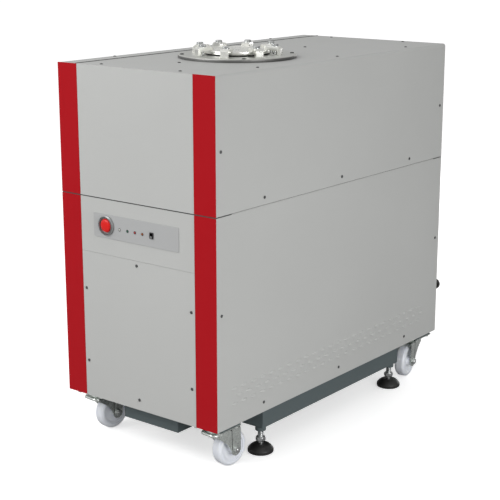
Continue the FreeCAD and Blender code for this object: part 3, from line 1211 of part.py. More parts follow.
# Rear connections
def make_rear_connections():
    """Water couplings, purge gas connector and cable glands."""
    inside = REAR_Y - SHEET - POST_T - SPIGOT_IN
    end = REAR_Y + REAR_REACH
    neck_r = WATER_R - WATER_STEP
    fittings = []
    for x in WATER_X:
        body = revolve([
            (0, inside), (WATER_SPIGOT_R, inside), (WATER_SPIGOT_R, REAR_Y), (neck_r, REAR_Y),
            (neck_r, end - WATER_COLLAR - 1), (WATER_R, end - WATER_COLLAR), (WATER_R, end - 1), (WATER_R - 1, end),
            (WATER_BORE_R, end), (WATER_BORE_R, end - WATER_BORE_L), (0, end - WATER_BORE_L),
        ], (x, 0, WATER_Z), "y")
        nut = hexagon(WATER_R + neck_r, (x, REAR_Y, WATER_Z), WATER_NUT_T, "y")
        fittings.append(fuse([body, nut]))
    gas_end = REAR_Y + GAS_REACH
    gas = revolve([
        (0, inside), (GAS_SPIGOT_R, inside), (GAS_SPIGOT_R, REAR_Y), (GAS_R, REAR_Y), (GAS_R, gas_end - 1),
        (GAS_R - 1, gas_end), (GAS_BORE_R, gas_end), (GAS_BORE_R, gas_end - GAS_BORE_L), (0, gas_end - GAS_BORE_L),
    ], (GAS_X, 0, GAS_Z), "y")
    save("water_and_gas_fittings", fittings + [gas])
    glands = []
    for x, r, bore in GLANDS:
        back = REAR_Y + r + GLAND_DOME
        collar = r + GLAND_NUT_T / 4
        body = revolve([
            (bore, inside), (r, inside), (r, REAR_Y + GLAND_NUT_T - 1), (collar, REAR_Y + GLAND_NUT_T - 1),
            (collar, back - GLAND_NUT_T), (r - 2, back), (bore, back),
        ], (x, 0, GLAND_Z), "y")
        nut = hexagon(2 * r + GLAND_NUT_T, (x, REAR_Y, GLAND_Z), GLAND_NUT_T, "y", bore=bore)
        glands.append(fuse([body, nut]))
    save("cable_glands", glands)


def main():
    """Write every node of the machine."""
    os.makedirs(OUT, exist_ok=True)
    make_base_frame()
    make_casters()
    make_feet()
    make_undercarriage_fasteners()
    make_tray()
    make_cabinet_frame()
    make_side_panels()
    make_hoods()
    make_front()
    make_rear_panels()
    make_controls()
    make_control_box()
    make_inlet()
    make_rotors()
    make_bearings()
    make_booster()
    make_screw_pump()
    make_duct()
    make_rear_connections()


main()
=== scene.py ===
"""Dressed model of a dry screw vacuum pump in its sheet-metal cabinet.

The cabinet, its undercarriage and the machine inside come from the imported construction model. This script
adds the screws, louvres, seals, lamps, threads and mouldings that a construction model leaves out, and gives
every surface its finish. All lengths are in metres, +Z is up, -Y is the control panel's side.
"""

import json
import logging
import math
from collections.abc import Sequence
from dataclasses import dataclass, field
from enum import Enum

import bmesh
import bpy
import numpy as np
from mathutils import Matrix, Vector
from mathutils.bvhtree import BVHTree

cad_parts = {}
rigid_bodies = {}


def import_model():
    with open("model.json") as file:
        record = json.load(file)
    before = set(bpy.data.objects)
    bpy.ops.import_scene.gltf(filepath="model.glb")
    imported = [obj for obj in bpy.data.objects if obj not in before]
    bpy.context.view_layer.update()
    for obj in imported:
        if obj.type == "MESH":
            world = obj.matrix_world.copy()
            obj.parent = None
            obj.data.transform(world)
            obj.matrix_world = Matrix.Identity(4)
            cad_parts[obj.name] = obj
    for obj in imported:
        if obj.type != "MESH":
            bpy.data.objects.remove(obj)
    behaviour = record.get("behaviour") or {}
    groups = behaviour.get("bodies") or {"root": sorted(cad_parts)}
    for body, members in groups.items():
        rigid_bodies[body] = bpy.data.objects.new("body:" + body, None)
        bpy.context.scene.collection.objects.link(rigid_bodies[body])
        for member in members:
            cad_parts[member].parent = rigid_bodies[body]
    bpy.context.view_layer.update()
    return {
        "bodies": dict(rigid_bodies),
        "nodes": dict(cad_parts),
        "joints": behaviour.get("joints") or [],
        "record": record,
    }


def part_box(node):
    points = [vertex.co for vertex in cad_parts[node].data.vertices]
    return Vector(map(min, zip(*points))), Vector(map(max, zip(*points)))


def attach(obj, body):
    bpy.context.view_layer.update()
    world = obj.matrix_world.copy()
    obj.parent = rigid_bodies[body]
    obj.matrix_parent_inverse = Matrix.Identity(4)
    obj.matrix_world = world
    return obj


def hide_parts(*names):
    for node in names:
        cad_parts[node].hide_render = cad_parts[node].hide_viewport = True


LOG = logging.getLogger("vacuum_pump")
MM = 0.001
CABINET_Y = -12.5 * MM    # the cabinet's middle lies in front of the whole machine's
CABINET = "cabinet"
CORNERS = ("front_left", "front_right", "rear_left", "rear_right")
Colour = tuple[float, float, float]
Feed = float | tuple[float, ...] | bpy.types.NodeSocket    # what a shader input takes: a constant or a link


def srgb(red: int, green: int, blue: int) -> Colour:
    """Linear colour of a screen colour.

    Args:
        red: Screen value from 0 to 255.
        green: Screen value from 0 to 255.
        blue: Screen value from 0 to 255.

    Returns:
        Linear red, green and blue from 0 to 1.
    """
    screen = np.array([red, green, blue]) / 255.0
    linear = np.where(screen <= 0.04045, screen / 12.92, ((screen + 0.055) / 1.055) ** 2.4)
    return tuple(float(value) for value in linear)


class Side(Enum):
    """A side of the cabinet, by the direction in which it faces."""

    RIGHT = (1.0, 0.0, 0.0)
    LEFT = (-1.0, 0.0, 0.0)
    FRONT = (0.0, -1.0, 0.0)
    REAR = (0.0, 1.0, 0.0)
    ROOF = (0.0, 0.0, 1.0)

    @property
    def axes(self) -> np.ndarray:
        """The side's directions: outward as its name says, along = up x outward.

        Returns:
            Rows: direction along the side, direction up the side, outward direction.
        """
        outward = np.array(self.value)
        up = np.array([0.0, 1.0, 0.0]) if self is Side.ROOF else np.array([0.0, 0.0, 1.0])
        return np.array([np.cross(up, outward), up, outward])


# Surfaces worked out as arrays
@dataclass(frozen=True)
class Patch:
    """Points of a surface, its faces as lists of point numbers, and which of the piece's finishes it has."""

    points: np.ndarray
    faces: list[list[int]]
    skin: int = 0

    def placed(self, axes: np.ndarray, origin: Sequence[float]) -> "Patch":
        """The patch turned and moved: point = origin + x * first axis + y * second axis + z * third axis.

        Args:
            axes: Three direction rows.
            origin: Where the patch's own origin goes.

        Returns:
            The placed patch.
        """
        return Patch(self.points @ axes + np.asarray(origin), self.faces, self.skin)

    def repeated(self, origins: np.ndarray) -> "Patch":
        """Copies of the patch, one moved to each origin.

        Args:
            origins: One row for each copy.

        Returns:
            One patch that holds all the copies.
        """
        count = len(self.points)
        points = (self.points[None] + origins[:, None]).reshape(-1, 3)
        firsts = [count * copy for copy in range(len(origins))]
        faces = [[corner + first for corner in face] for first in firsts for face in self.faces]
        return Patch(points, faces, self.skin)


def grid_faces(rows: int, columns: int, close_rows: bool = False,
               close_columns: bool = True) -> list[list[int]]:
    """Four-cornered faces between neighbouring points of a grid, point (i, j) having number i * columns + j.

    Args:
        rows: Points along the first parameter.
        columns: Points along the second parameter.
        close_rows: Whether the last row joins the first.
        close_columns: Whether the last column joins the first.

    Returns:
        The faces as lists of point numbers.
    """
    i = np.arange(rows if close_rows else rows - 1)[:, None]
    j = np.arange(columns if close_columns else columns - 1)[None, :]
    i2, j2 = (i + 1) % rows, (j + 1) % columns
    corners = np.stack([i * columns + j, i * columns + j2, i2 * columns + j2, i2 * columns + j], -1)
    return corners.reshape(-1, 4).tolist()


def rounded(outline: Sequence[Sequence[float]], radius: float | Sequence[float], steps: int = 3,
            closed: bool = True) -> np.ndarray:
    """Outline with its corners eased.

    A corner P becomes (1-t)^2 A + 2t(1-t) P + t^2 B, where A and B lie on its two edges at the radius from P.

    Args:
        outline: Corner points in order.
        radius: How far from each corner the easing starts, one value or one for each corner.
        steps: Parts of each eased corner.
        closed: Whether the outline is a loop. The ends of an open one stay as they are.

    Returns:
        The eased outline.
    """
    p = np.asarray(outline, float)
    reach = np.broadcast_to(np.asarray(radius, float), len(p)).copy()
    if not closed:
        reach[[0, -1]] = 0.0

    def towards(neighbour: np.ndarray) -> np.ndarray:
        """Points on the edges to a neighbour, at the reach or just short of half of the edge.

        Args:
            neighbour: For each corner the one next to it.

        Returns:
            One point for each corner.
        """
        edge = neighbour - p
        length = np.maximum(np.linalg.norm(edge, axis=1), 1e-12)
        return p + edge * (np.minimum(reach, 0.49 * length) / length)[:, None]

    start, end = towards(np.roll(p, 1, 0)), towards(np.roll(p, -1, 0))
    t = np.linspace(0.0, 1.0, steps + 1)[None, :, None]
    curve = (1 - t) ** 2 * start[:, None] + 2 * t * (1 - t) * p[:, None] + t ** 2 * end[:, None]
    return curve.reshape(-1, p.shape[1])


def lathe(profile: np.ndarray, steps: int = 48, skin: int = 0, closed: bool = False, waves: int = 0,
          depth: float | np.ndarray = 0.0) -> Patch:
    """Surface of revolution about Z: (r cos a, r sin a, z), with r less depth * (1 + cos(waves * a)) / 2.

    Args:
        profile: Rows of radius and height.
        steps: Points around.
        skin: Which of the piece's finishes it wears.
        closed: Whether the profile is a loop that stays clear of the axis.
        waves: Flutes around the surface.
        depth: Depth of a flute, one value or one for each profile row.

    Returns:
        The turned patch.
    """
    angle = np.linspace(0.0, 2 * np.pi, steps, endpoint=False)[None, :]
    sink = np.broadcast_to(np.asarray(depth, float), len(profile))[:, None]
    radius = np.maximum(profile[:, :1] - sink * (1 + np.cos(waves * angle)) / 2, 0.0)
    height = profile[:, 1:] + 0 * angle
    points = np.stack([radius * np.cos(angle), radius * np.sin(angle), height], -1).reshape(-1, 3)
    return Patch(points, grid_faces(len(profile), steps, close_rows=closed), skin)


def nut(flats: float, low: float, high: float, chamfer: float = 0.12, steps: int = 48) -> Patch:
    """Hexagon nut or head with turned chamfers: radius = lesser of the hexagon
    (flats / 2) / cos(a mod 60 - 30) and a cone that narrows to 0.96 (flats / 2) at both faces.

    Args:
        flats: Width across the flats.
        low: Height of the lower face.
        high: Height of the upper face.
        chamfer: Height of the chamfers as a share of the flats.
        steps: Points around.

    Returns:
        The patch of a solid hexagon about Z.
    """
    angle = np.linspace(0.0, 2 * np.pi, steps, endpoint=False)[None, :]
    hexagon = flats / 2 / np.cos((angle + np.pi / 6) % (np.pi / 3) - np.pi / 6)
    drop = chamfer * flats
    share = np.array([0.0, 0.25, 0.5, 0.75, 1.0])
    heights = np.concatenate([[low], low + drop * share, high - drop * share[::-1], [high]])
    narrow, widening = 0.96, 0.21
    cone = flats / 2 * (narrow + widening * np.concatenate([share, share[::-1]]))
    radius = np.minimum(hexagon, np.concatenate([[0.0], cone, [0.0]])[:, None])
    points = np.stack([radius * np.cos(angle), radius * np.sin(angle), heights[:, None] + 0 * angle], -1)
    return Patch(points.reshape(-1, 3), grid_faces(len(heights), steps))


def slab(outline: np.ndarray, low: float, high: float, bevel: float, steps: int = 3, skin: int = 0) -> Patch:
    """Plate with eased edges: the outline moved in by bevel * (1 - sin t) while the height falls by
    bevel * (1 - cos t) from each face, closed by one flat face below and one above.

    Args:
        outline: Outline in the XY plane, anticlockwise.
        low: Height of the lower face.
        high: Height of the upper face.
        bevel: Radius of the eased edges.
        steps: Parts of each eased edge.
        skin: Which of the piece's finishes it wears.

    Returns:
        The plate's patch.
    """
    edge = np.roll(outline, -1, 0) - outline
    edge /= np.maximum(np.linalg.norm(edge, axis=1, keepdims=True), 1e-12)
    normal = np.stack([edge[:, 1], -edge[:, 0]], -1)
    before = np.roll(normal, 1, 0)
    sharpest = 0.3    # holds the mitre back at a corner that nearly turns round
    mitre = (normal + before) / np.maximum(1 + (normal * before).sum(1, keepdims=True), sharpest)
    turn = np.linspace(0.0, np.pi / 2, steps + 1)
    inset = bevel * (1 - np.sin(turn))
    rise = bevel * (1 - np.cos(turn))
    insets = np.concatenate([inset, inset[::-1]])
    heights = np.concatenate([low + bevel - rise[::-1], high - bevel + rise])
    flat = outline[None] - insets[:, None, None] * mitre[None]
    points = np.concatenate([flat, np.broadcast_to(heights[:, None, None], flat.shape[:2] + (1,))], -1)
    count = len(outline)
    faces = grid_faces(len(insets), count)
    faces += [list(range(count))[::-1], list(range((len(insets) - 1) * count, len(insets) * count))]
    return Patch(points.reshape(-1, 3), faces, skin)


def rectangle(width: float, height: float, radius: float, steps: int = 5) -> np.ndarray:
    """Rectangle about the origin with eased corners, anticlockwise.

    Args:
        width: Size along X.
        height: Size along Y.
        radius: Reach of the eased corners.
        steps: Parts of each corner.

    Returns:
        The outline's points.
    """
    x, y = width / 2, height / 2
    return rounded([(-x, -y), (x, -y), (x, y), (-x, y)], radius, steps)


def thread(radius: float, low: float, high: float, pitch: float, depth: float, steps: int = 24) -> Patch:
    """Threaded rod about Z: radius - depth * |2 f - 1| with f the fraction of z / pitch - a / 2 pi, fading
    to a plain chamfer over the last pitch at both ends.

    Args:
        radius: Outer radius.
        low: Height of the lower end.
        high: Height of the upper end.
        pitch: Rise of the thread for one turn.
        depth: Depth of the thread.
        steps: Points around.

    Returns:
        The rod's patch.
    """
    angle = np.linspace(0.0, 2 * np.pi, steps, endpoint=False)[None, :]
    height = np.append(np.arange(low, high, pitch / 4), high)[:, None]
    phase = (height / pitch - angle / (2 * np.pi)) % 1.0
    fade = np.minimum(np.minimum(height - low, high - height) / pitch, 1.0)
    spread = radius - depth * np.abs(2 * phase - 1) - depth * (1 - fade)
    ring = np.stack([spread * np.cos(angle), spread * np.sin(angle), height + 0 * angle], -1)
    caps = np.zeros((1, steps, 3))
    points = np.concatenate([caps + [0, 0, low], ring, caps + [0, 0, high]]).reshape(-1, 3)
    return Patch(points, grid_faces(len(height) + 2, steps))


def axes_along(direction: Sequence[float]) -> np.ndarray:
    """Direction rows whose third one is the given direction.

    Args:
        direction: Where a patch's own Z goes.

    Returns:
        Three rows at right angles to each other.
    """
    z = np.asarray(direction, float)
    z = z / np.linalg.norm(z)
    steep = abs(z[2]) >= 0.9
    x = np.cross([0.0, 1.0, 0.0] if steep else [0.0, 0.0, 1.0], z)
    x /= np.linalg.norm(x)
    return np.array([x, np.cross(z, x), z])


# Shader nodes
class Graph:
    """Adds and joins nodes in one shader tree."""

    def __init__(self, tree: bpy.types.NodeTree) -> None:
        """Keeps the tree that nodes go into."""
        self.tree = tree

    def add(self, kind: str, inputs: dict | None = None, **settings) -> bpy.types.Node:
        """A new node with its settings and inputs, where an input that is a socket is linked.

        Args:
            kind: Blender's name for the node type.
            inputs: Values or sockets for the node's inputs, by name or number.
            settings: Attributes of the node.

        Returns:
            The node.
        """
        node = self.tree.nodes.new(kind)
        for name, value in settings.items():
            setattr(node, name, value)
        for key, value in (inputs or {}).items():
            if isinstance(value, bpy.types.NodeSocket):
                self.tree.links.new(value, node.inputs[key])
            else:
                node.inputs[key].default_value = value
        return node

    def link(self, start: bpy.types.NodeSocket, end: bpy.types.NodeSocket) -> None:
        """Joins an output to an input."""
        self.tree.links.new(start, end)

    def place(self) -> bpy.types.NodeSocket:
        """Socket with the place in the object's own coordinates, in metres."""
        return self.add("ShaderNodeTexCoord").outputs["Object"]

    def noise(self, place: bpy.types.NodeSocket, scale: float | bpy.types.NodeSocket, detail: float = 2.0,
              rough: float = 0.5) -> bpy.types.NodeSocket:
        """Noise from 0 to 1 at a place.

        Args:
            place: Socket with the place.
            scale: Bumps in a metre.
            detail: Octaves.
            rough: Share that each octave keeps.

        Returns:
            The noise value's socket.
        """
        node = self.add("ShaderNodeTexNoise", {"Vector": place, "Scale": scale, "Detail": detail,
                                               "Roughness": rough})
        return node.outputs["Fac"]

    def span(self, value: bpy.types.NodeSocket, low: float, high: float, to_low: float | bpy.types.NodeSocket,
             to_high: float | bpy.types.NodeSocket) -> bpy.types.NodeSocket:
        """A value carried from one span to another, held at its ends.

        Args:
            value: Socket of the value.
            low: Start of the span it comes from.
            high: End of the span it comes from.
            to_low: Start of the span it goes to.
            to_high: End of the span it goes to.

        Returns:
            The carried value's socket.
        """
        node = self.add("ShaderNodeMapRange", {"Value": value, "From Min": low, "From Max": high,
                                               "To Min": to_low, "To Max": to_high})
        return node.outputs["Result"]

    def calc(self, kind: str, first: Feed, second: Feed) -> bpy.types.NodeSocket:
        """Result of a Math node.

        Args:
            kind: Operation.
            first: Value or socket.
            second: Value or socket.

        Returns:
            The result's socket.
        """
        return self.add("ShaderNodeMath", {0: first, 1: second}, operation=kind).outputs[0]

    def plus(self, first: Feed, second: Feed) -> bpy.types.NodeSocket:
        """Sum of two values."""
        return self.calc("ADD", first, second)

    def times(self, first: Feed, second: Feed) -> bpy.types.NodeSocket:
        """Product of two values."""
        return self.calc("MULTIPLY", first, second)

    def centred(self, noise: bpy.types.NodeSocket) -> bpy.types.NodeSocket:
        """Noise moved from about 0.5 to about 0."""
        return self.calc("SUBTRACT", noise, 0.5)

    def scaled(self, colour: bpy.types.NodeSocket, factor: Feed) -> bpy.types.NodeSocket:
        """A colour times a factor."""
        return self.add("ShaderNodeVectorMath", {0: colour, 3: factor}, operation="SCALE").outputs[0]

    def mix(self, share: Feed, first: Feed, second: Feed) -> bpy.types.NodeSocket:
        """Blend of two colours.

        Args:
            share: Part of the second colour, value or socket.
            first: Colour or socket.
            second: Colour or socket.

        Returns:
            The blend's socket.
        """
        def full(value: Feed) -> Feed:
            """A colour with its fourth value, or the socket as it is."""
            return value if isinstance(value, bpy.types.NodeSocket) else (*value, 1.0)

        return self.add("ShaderNodeMix", {0: share, 6: full(first), 7: full(second)},
                        data_type="RGBA").outputs[2]


class Effect(Enum):
    """Surface effects that several finishes share, each one shader node group."""

    ORANGE_PEEL = "orange_peel"
    GRIME = "floor_grime"
    MACHINED = "machined_grain"
    CAST = "cast_skin"

    def group(self) -> bpy.types.NodeTree:
        """The effect's node group, built at its first use."""
        made = bpy.data.node_groups.get(self.value)
        return made if made else getattr(EffectShop(self.value), self.value)()


class EffectShop:
    """Builds the node group of one effect."""

    def __init__(self, name: str) -> None:
        """Starts an empty group of that name."""
        self.tree = bpy.data.node_groups.new(name, "ShaderNodeTree")
        self.graph = Graph(self.tree)

    def ports(self, inputs: dict[str, tuple[str, object]], outputs: dict[str, str]) -> tuple:
        """Makes the group's named inputs and outputs.

        Args:
            inputs: Kind of socket and usual value for each input's name.
            outputs: Kind of socket for each output's name.

        Returns:
            The group's input and output nodes.
        """
        kinds = {"float": "NodeSocketFloat", "colour": "NodeSocketColor", "vector": "NodeSocketVector"}
        for name, (kind, usual) in inputs.items():
            socket = self.tree.interface.new_socket(name=name, in_out="INPUT", socket_type=kinds[kind])
            socket.default_value = usual
        for name, kind in outputs.items():
            self.tree.interface.new_socket(name=name, in_out="OUTPUT", socket_type=kinds[kind])
        return self.graph.add("NodeGroupInput"), self.graph.add("NodeGroupOutput")

    def feed(self, end: bpy.types.Node, values: dict[str, bpy.types.NodeSocket]) -> bpy.types.NodeTree:
        """Links the group's outputs.

        Args:
            end: The group's output node.
            values: Sockets by the outputs' names.

        Returns:
            The finished group.
        """
        for name, socket in values.items():
            self.graph.link(socket, end.inputs[name])
        return self.tree

    def orange_peel(self) -> bpy.types.NodeTree:
        """Sprayed and baked paint: fine peel in height, broad mottle in colour, patches in gloss.

        Returns:
            The effect's node group.
        """
        start, end = self.ports(
            {"Colour": ("colour", (0.5, 0.5, 0.5, 1)), "Grain": ("float", 900.0), "Mottle": ("float", 0.06),
             "Roughness": ("float", 0.45)},
            {"Colour": "colour", "Roughness": "float", "Height": "float"})
        g, place, mottle = self.graph, self.graph.place(), start.outputs["Mottle"]
        broad = g.noise(place, 3.1, 3.0)
        fine = g.noise(place, start.outputs["Grain"], 2.0, 0.6)
        peel = g.noise(place, 330.0, 1.0)
        speck = g.noise(place, 2600.0, 0.0)
        spots = g.times(g.centred(speck), g.times(mottle, 0.9))
        bright = g.plus(1.0, g.plus(g.times(g.centred(broad), mottle), spots))
        gloss = g.plus(start.outputs["Roughness"], g.span(broad, 0.3, 0.7, -0.05, 0.05))
        return self.feed(end, {
            "Colour": g.scaled(start.outputs["Colour"], bright),
            "Roughness": g.plus(gloss, g.span(fine, 0.3, 0.7, -0.03, 0.03)),
            "Height": g.plus(g.times(fine, 0.55), g.times(peel, 0.45))})

    def floor_grime(self) -> bpy.types.NodeTree:
        """Dust that lies on upward faces and dirt that climbs up from the floor, broken up by noise.

        Returns:
            The effect's node group.
        """
        start, end = self.ports(
            {"Colour": ("colour", (0.5, 0.5, 0.5, 1)), "Dirt": ("colour", (0.16, 0.15, 0.13, 1)),
             "Height": ("float", 0.12), "Amount": ("float", 0.5), "Dust": ("float", 0.2)},
            {"Colour": "colour", "Mask": "float"})
        g, place = self.graph, self.graph.place()
        z = g.add("ShaderNodeSeparateXYZ", {0: place}).outputs["Z"]
        normal = g.add("ShaderNodeNewGeometry").outputs["Normal"]
        up = g.span(g.add("ShaderNodeSeparateXYZ", {0: normal}).outputs["Z"], 0.75, 1.0, 0.0, 1.0)
        share = g.calc("DIVIDE", z, start.outputs["Height"])
        low = g.span(g.calc("SUBTRACT", 1.0, share), 0.0, 1.0, 0.0, 1.0)
        rough = g.span(g.noise(place, 55.0, 5.0, 0.65), 0.35, 0.7, 0.0, 1.0)
        streak = g.span(g.noise(place, 11.0, 3.0), 0.3, 0.7, 0.35, 1.0)
        climb = g.times(g.times(low, rough), start.outputs["Amount"])
        lying = g.times(g.times(up, streak), start.outputs["Dust"])
        mask = g.calc("MINIMUM", g.plus(climb, lying), 1.0)
        return self.feed(end, {
            "Colour": g.mix(mask, start.outputs["Colour"], start.outputs["Dirt"]), "Mask": mask})

    def machined_grain(self) -> bpy.types.NodeTree:
        """Bare metal: fine lines along one direction, and soft clouding from plating or handling.

        Returns:
            The effect's node group.
        """
        start, end = self.ports(
            {"Colour": ("colour", (0.6, 0.6, 0.6, 1)), "Stretch": ("vector", (1.0, 1.0, 1.0)),
             "Lines": ("float", 900.0), "Cloud": ("float", 0.12), "Roughness": ("float", 0.3)},
            {"Colour": "colour", "Roughness": "float", "Height": "float"})
        g, place = self.graph, self.graph.place()
        drawn = g.add("ShaderNodeVectorMath", {0: place, 1: start.outputs["Stretch"]}, operation="MULTIPLY")
        lines = g.noise(drawn.outputs[0], start.outputs["Lines"], 2.0, 0.7)
        cloud = g.noise(place, 46.0, 4.0, 0.6)
        flecks = g.add("ShaderNodeTexVoronoi", {"Vector": place, "Scale": 260.0}).outputs["Color"]
        fleck = g.add("ShaderNodeSeparateColor", {0: flecks}).outputs[0]
        veil = g.plus(g.centred(cloud), g.times(g.centred(fleck), 0.35))
        bright = g.plus(1.0, g.times(veil, start.outputs["Cloud"]))
        spread = g.plus(g.span(cloud, 0.3, 0.7, -0.06, 0.08), g.span(lines, 0.3, 0.7, -0.04, 0.05))
        return self.feed(end, {
            "Colour": g.scaled(start.outputs["Colour"], bright),
            "Roughness": g.plus(start.outputs["Roughness"], spread),
            "Height": lines})

    def cast_skin(self) -> bpy.types.NodeTree:
        """Sand-cast metal under paint: pebbled skin with a few pits.

        Returns:
            The effect's node group.
        """
        start, end = self.ports(
            {"Colour": ("colour", (0.2, 0.2, 0.2, 1)), "Grain": ("float", 420.0),
             "Roughness": ("float", 0.6)},
            {"Colour": "colour", "Roughness": "float", "Height": "float"})
        g, place = self.graph, self.graph.place()
        pebble = g.noise(place, start.outputs["Grain"], 4.0, 0.6)
        pits = g.add("ShaderNodeTexVoronoi", {"Vector": place, "Scale": 190.0}).outputs["Distance"]
        bright = g.plus(0.82, g.times(pebble, 0.36))
        return self.feed(end, {
            "Colour": g.scaled(start.outputs["Colour"], bright),
            "Roughness": g.plus(start.outputs["Roughness"], g.span(pebble, 0.3, 0.7, -0.08, 0.1)),
            "Height": g.plus(pebble, g.times(g.span(pits, 0.0, 0.18, 0.0, 1.0), 0.5))})


@dataclass(frozen=True)
class Finish:
    """What all finishes share: a name, a colour, a gloss and how much floor dirt they take."""

    name: str
    colour: Colour
    roughness: float = 0.45
    grime: float = 0.0
    grime_height: float = 0.14
    dust: float = 0.0

    def material(self) -> bpy.types.Material:
        """The finish's material, made at its first use.

        Returns:
            The material.
        """
        made = bpy.data.materials.get(self.name)
        if made:
            return made
        material = bpy.data.materials.new(self.name)
        material.use_nodes = True
        material.node_tree.nodes.clear()
        graph = Graph(material.node_tree)
        shader = graph.add("ShaderNodeBsdfPrincipled")
        output = graph.add("ShaderNodeOutputMaterial")
        graph.link(shader.outputs[0], output.inputs[0])
        material.diffuse_color = (*self.colour, 1.0)
        self.dress(graph, shader)
        return material

    def shade(self, graph: Graph, colour: bpy.types.NodeSocket) -> bpy.types.NodeSocket:
        """The clean colour through whatever a kind of finish adds to it, here nothing."""
        return colour

    def coat_with(self, graph: Graph, shader: bpy.types.Node, effect: Effect, inputs: dict, depth: float,
                  strength: float) -> None:
        """Feeds colour, gloss and normal from a shared effect, with floor grime where the finish takes any.

        Args:
            graph: The material's graph.
            shader: The Principled node.
            effect: Which effect.
            inputs: Values for the effect's own inputs, besides its colour and roughness.
            depth: What a height of 1 means, in metres.
            strength: Share of the bump that shows.
        """
        skin = graph.add("ShaderNodeGroup", {"Colour": (*self.colour, 1.0), "Roughness": self.roughness,
                                             **inputs}, node_tree=effect.group())
        colour = self.shade(graph, skin.outputs["Colour"])
        if self.grime or self.dust:
            colour = graph.add("ShaderNodeGroup", {
                "Colour": colour, "Height": self.grime_height, "Amount": self.grime, "Dust": self.dust},
                node_tree=Effect.GRIME.group()).outputs["Colour"]
        graph.link(colour, shader.inputs["Base Color"])
        graph.link(skin.outputs["Roughness"], shader.inputs["Roughness"])
        bump = graph.add("ShaderNodeBump", {"Height": skin.outputs["Height"], "Distance": depth,
                                            "Strength": strength})
        graph.link(bump.outputs[0], shader.inputs["Normal"])

    def dress(self, graph: Graph, shader: bpy.types.Node) -> None:
        """Wires the finish. Each kind of finish has its own way."""
        raise NotImplementedError


@dataclass(frozen=True)
class PowderCoat(Finish):
    """Baked powder paint on sheet steel."""

    grain: float = 900.0
    mottle: float = 0.06
    depth: float = 0.06 * MM
    bump: float = 0.55
    shine: float = 0.4

    def dress(self, graph: Graph, shader: bpy.types.Node) -> None:
        """Orange peel in height and gloss, light mottle in colour, grime near the floor."""
        self.coat_with(graph, shader, Effect.ORANGE_PEEL, {"Grain": self.grain, "Mottle": self.mottle},
                       self.depth, self.bump)
        shader.inputs["Specular IOR Level"].default_value = self.shine


@dataclass(frozen=True)
class BareMetal(Finish):
    """Plated, drawn or turned metal."""

    stretch: tuple[float, float, float] = (1.0, 1.0, 1.0)
    lines: float = 900.0
    cloud: float = 0.12
    depth: float = 0.03 * MM
    bump: float = 0.4
    # Painted shade: below a plate's top face the colour darkens, standing for the shadow along its edge
    painted_shade_top: float = 0.0
    painted_shade_fade: tuple[float, float] = (2.2 * MM, 0.8 * MM)
    painted_shade_colour: Colour = (0.2, 0.2, 0.195)

    def shade(self, graph: Graph, colour: bpy.types.NodeSocket) -> bpy.types.NodeSocket:
        """The clean colour, darkened by painted shade below a plate's top face where the finish has one.

        Args:
            graph: The material's graph.
            colour: Socket of the clean colour.

        Returns:
            Socket of the colour with its painted edge shade.
        """
        if not self.painted_shade_top:
            return colour
        height = graph.add("ShaderNodeSeparateXYZ", {0: graph.place()}).outputs["Z"]
        start, end = self.painted_shade_fade
        share = graph.span(height, self.painted_shade_top - start, self.painted_shade_top - end, 0.0, 1.0)
        return graph.mix(share, self.painted_shade_colour, colour)

    def dress(self, graph: Graph, shader: bpy.types.Node) -> None:
        """Drawn lines in height and gloss, clouding in colour."""
        self.coat_with(graph, shader, Effect.MACHINED,
                       {"Stretch": self.stretch, "Lines": self.lines, "Cloud": self.cloud}, self.depth,
                       self.bump)
        shader.inputs["Metallic"].default_value = 1.0


@dataclass(frozen=True)
class Casting(Finish):
    """Painted sand casting."""

    grain: float = 420.0
    depth: float = 0.4 * MM
    bump: float = 0.6

    def dress(self, graph: Graph, shader: bpy.types.Node) -> None:
        """Pebbled skin with pits."""
        self.coat_with(graph, shader, Effect.CAST, {"Grain": self.grain}, self.depth, self.bump)


@dataclass(frozen=True)
class Moulded(Finish):
    """Moulded plastic or rubber, with a fine tool texture and, where it lets light in, some scatter."""

    grain: float = 1500.0
    mottle: float = 0.1
    depth: float = 0.04 * MM
    bump: float = 0.35
    scatter: float = 0.0
    scatter_reach: float = 4 * MM
    scatter_tint: Colour = (1.0, 1.0, 1.1)
    coat: float = 0.0
    shine: float = 0.5

    def dress(self, graph: Graph, shader: bpy.types.Node) -> None:
        """Fine texture in height and gloss, and the finish's own scatter, coat and shine.

        Args:
            graph: The material's graph.
            shader: The Principled node.
        """
        self.coat_with(graph, shader, Effect.ORANGE_PEEL, {"Grain": self.grain, "Mottle": self.mottle},
                       self.depth, self.bump)
        shader.inputs["Subsurface Weight"].default_value = self.scatter
        shader.inputs["Subsurface Radius"].default_value = self.scatter_tint
        shader.inputs["Subsurface Scale"].default_value = self.scatter_reach
        shader.inputs["Coat Weight"].default_value = self.coat
        shader.inputs["Specular IOR Level"].default_value = self.shine


@dataclass(frozen=True)
class Lens(Finish):
    """Small coloured lamp lens with a faint glow and facets inside."""

    glow: float = 0.2
    facets: float = 1400.0
    shadow: float = 0.55
    gloss: tuple[float, float] = (0.12, 0.3)
    coat: float = 0.6

    def dress(self, graph: Graph, shader: bpy.types.Node) -> None:
        """Facets in colour, glow and gloss under a clear coat.

        Args:
            graph: The material's graph.
            shader: The Principled node.
        """
        facets = graph.add("ShaderNodeTexVoronoi", {"Vector": graph.place(), "Scale": self.facets})
        cells = facets.outputs["Distance"]
        dark = tuple(self.shadow * value for value in self.colour)
        tone = graph.mix(graph.span(cells, 0.1, 0.6, 0.0, 1.0), self.colour, dark)
        graph.link(tone, shader.inputs["Base Color"])
        graph.link(tone, shader.inputs["Emission Color"])
        graph.link(graph.span(cells, 0.1, 0.6, *self.gloss), shader.inputs["Roughness"])
        shader.inputs["Emission Strength"].default_value = self.glow
        shader.inputs["Coat Weight"].default_value = self.coat


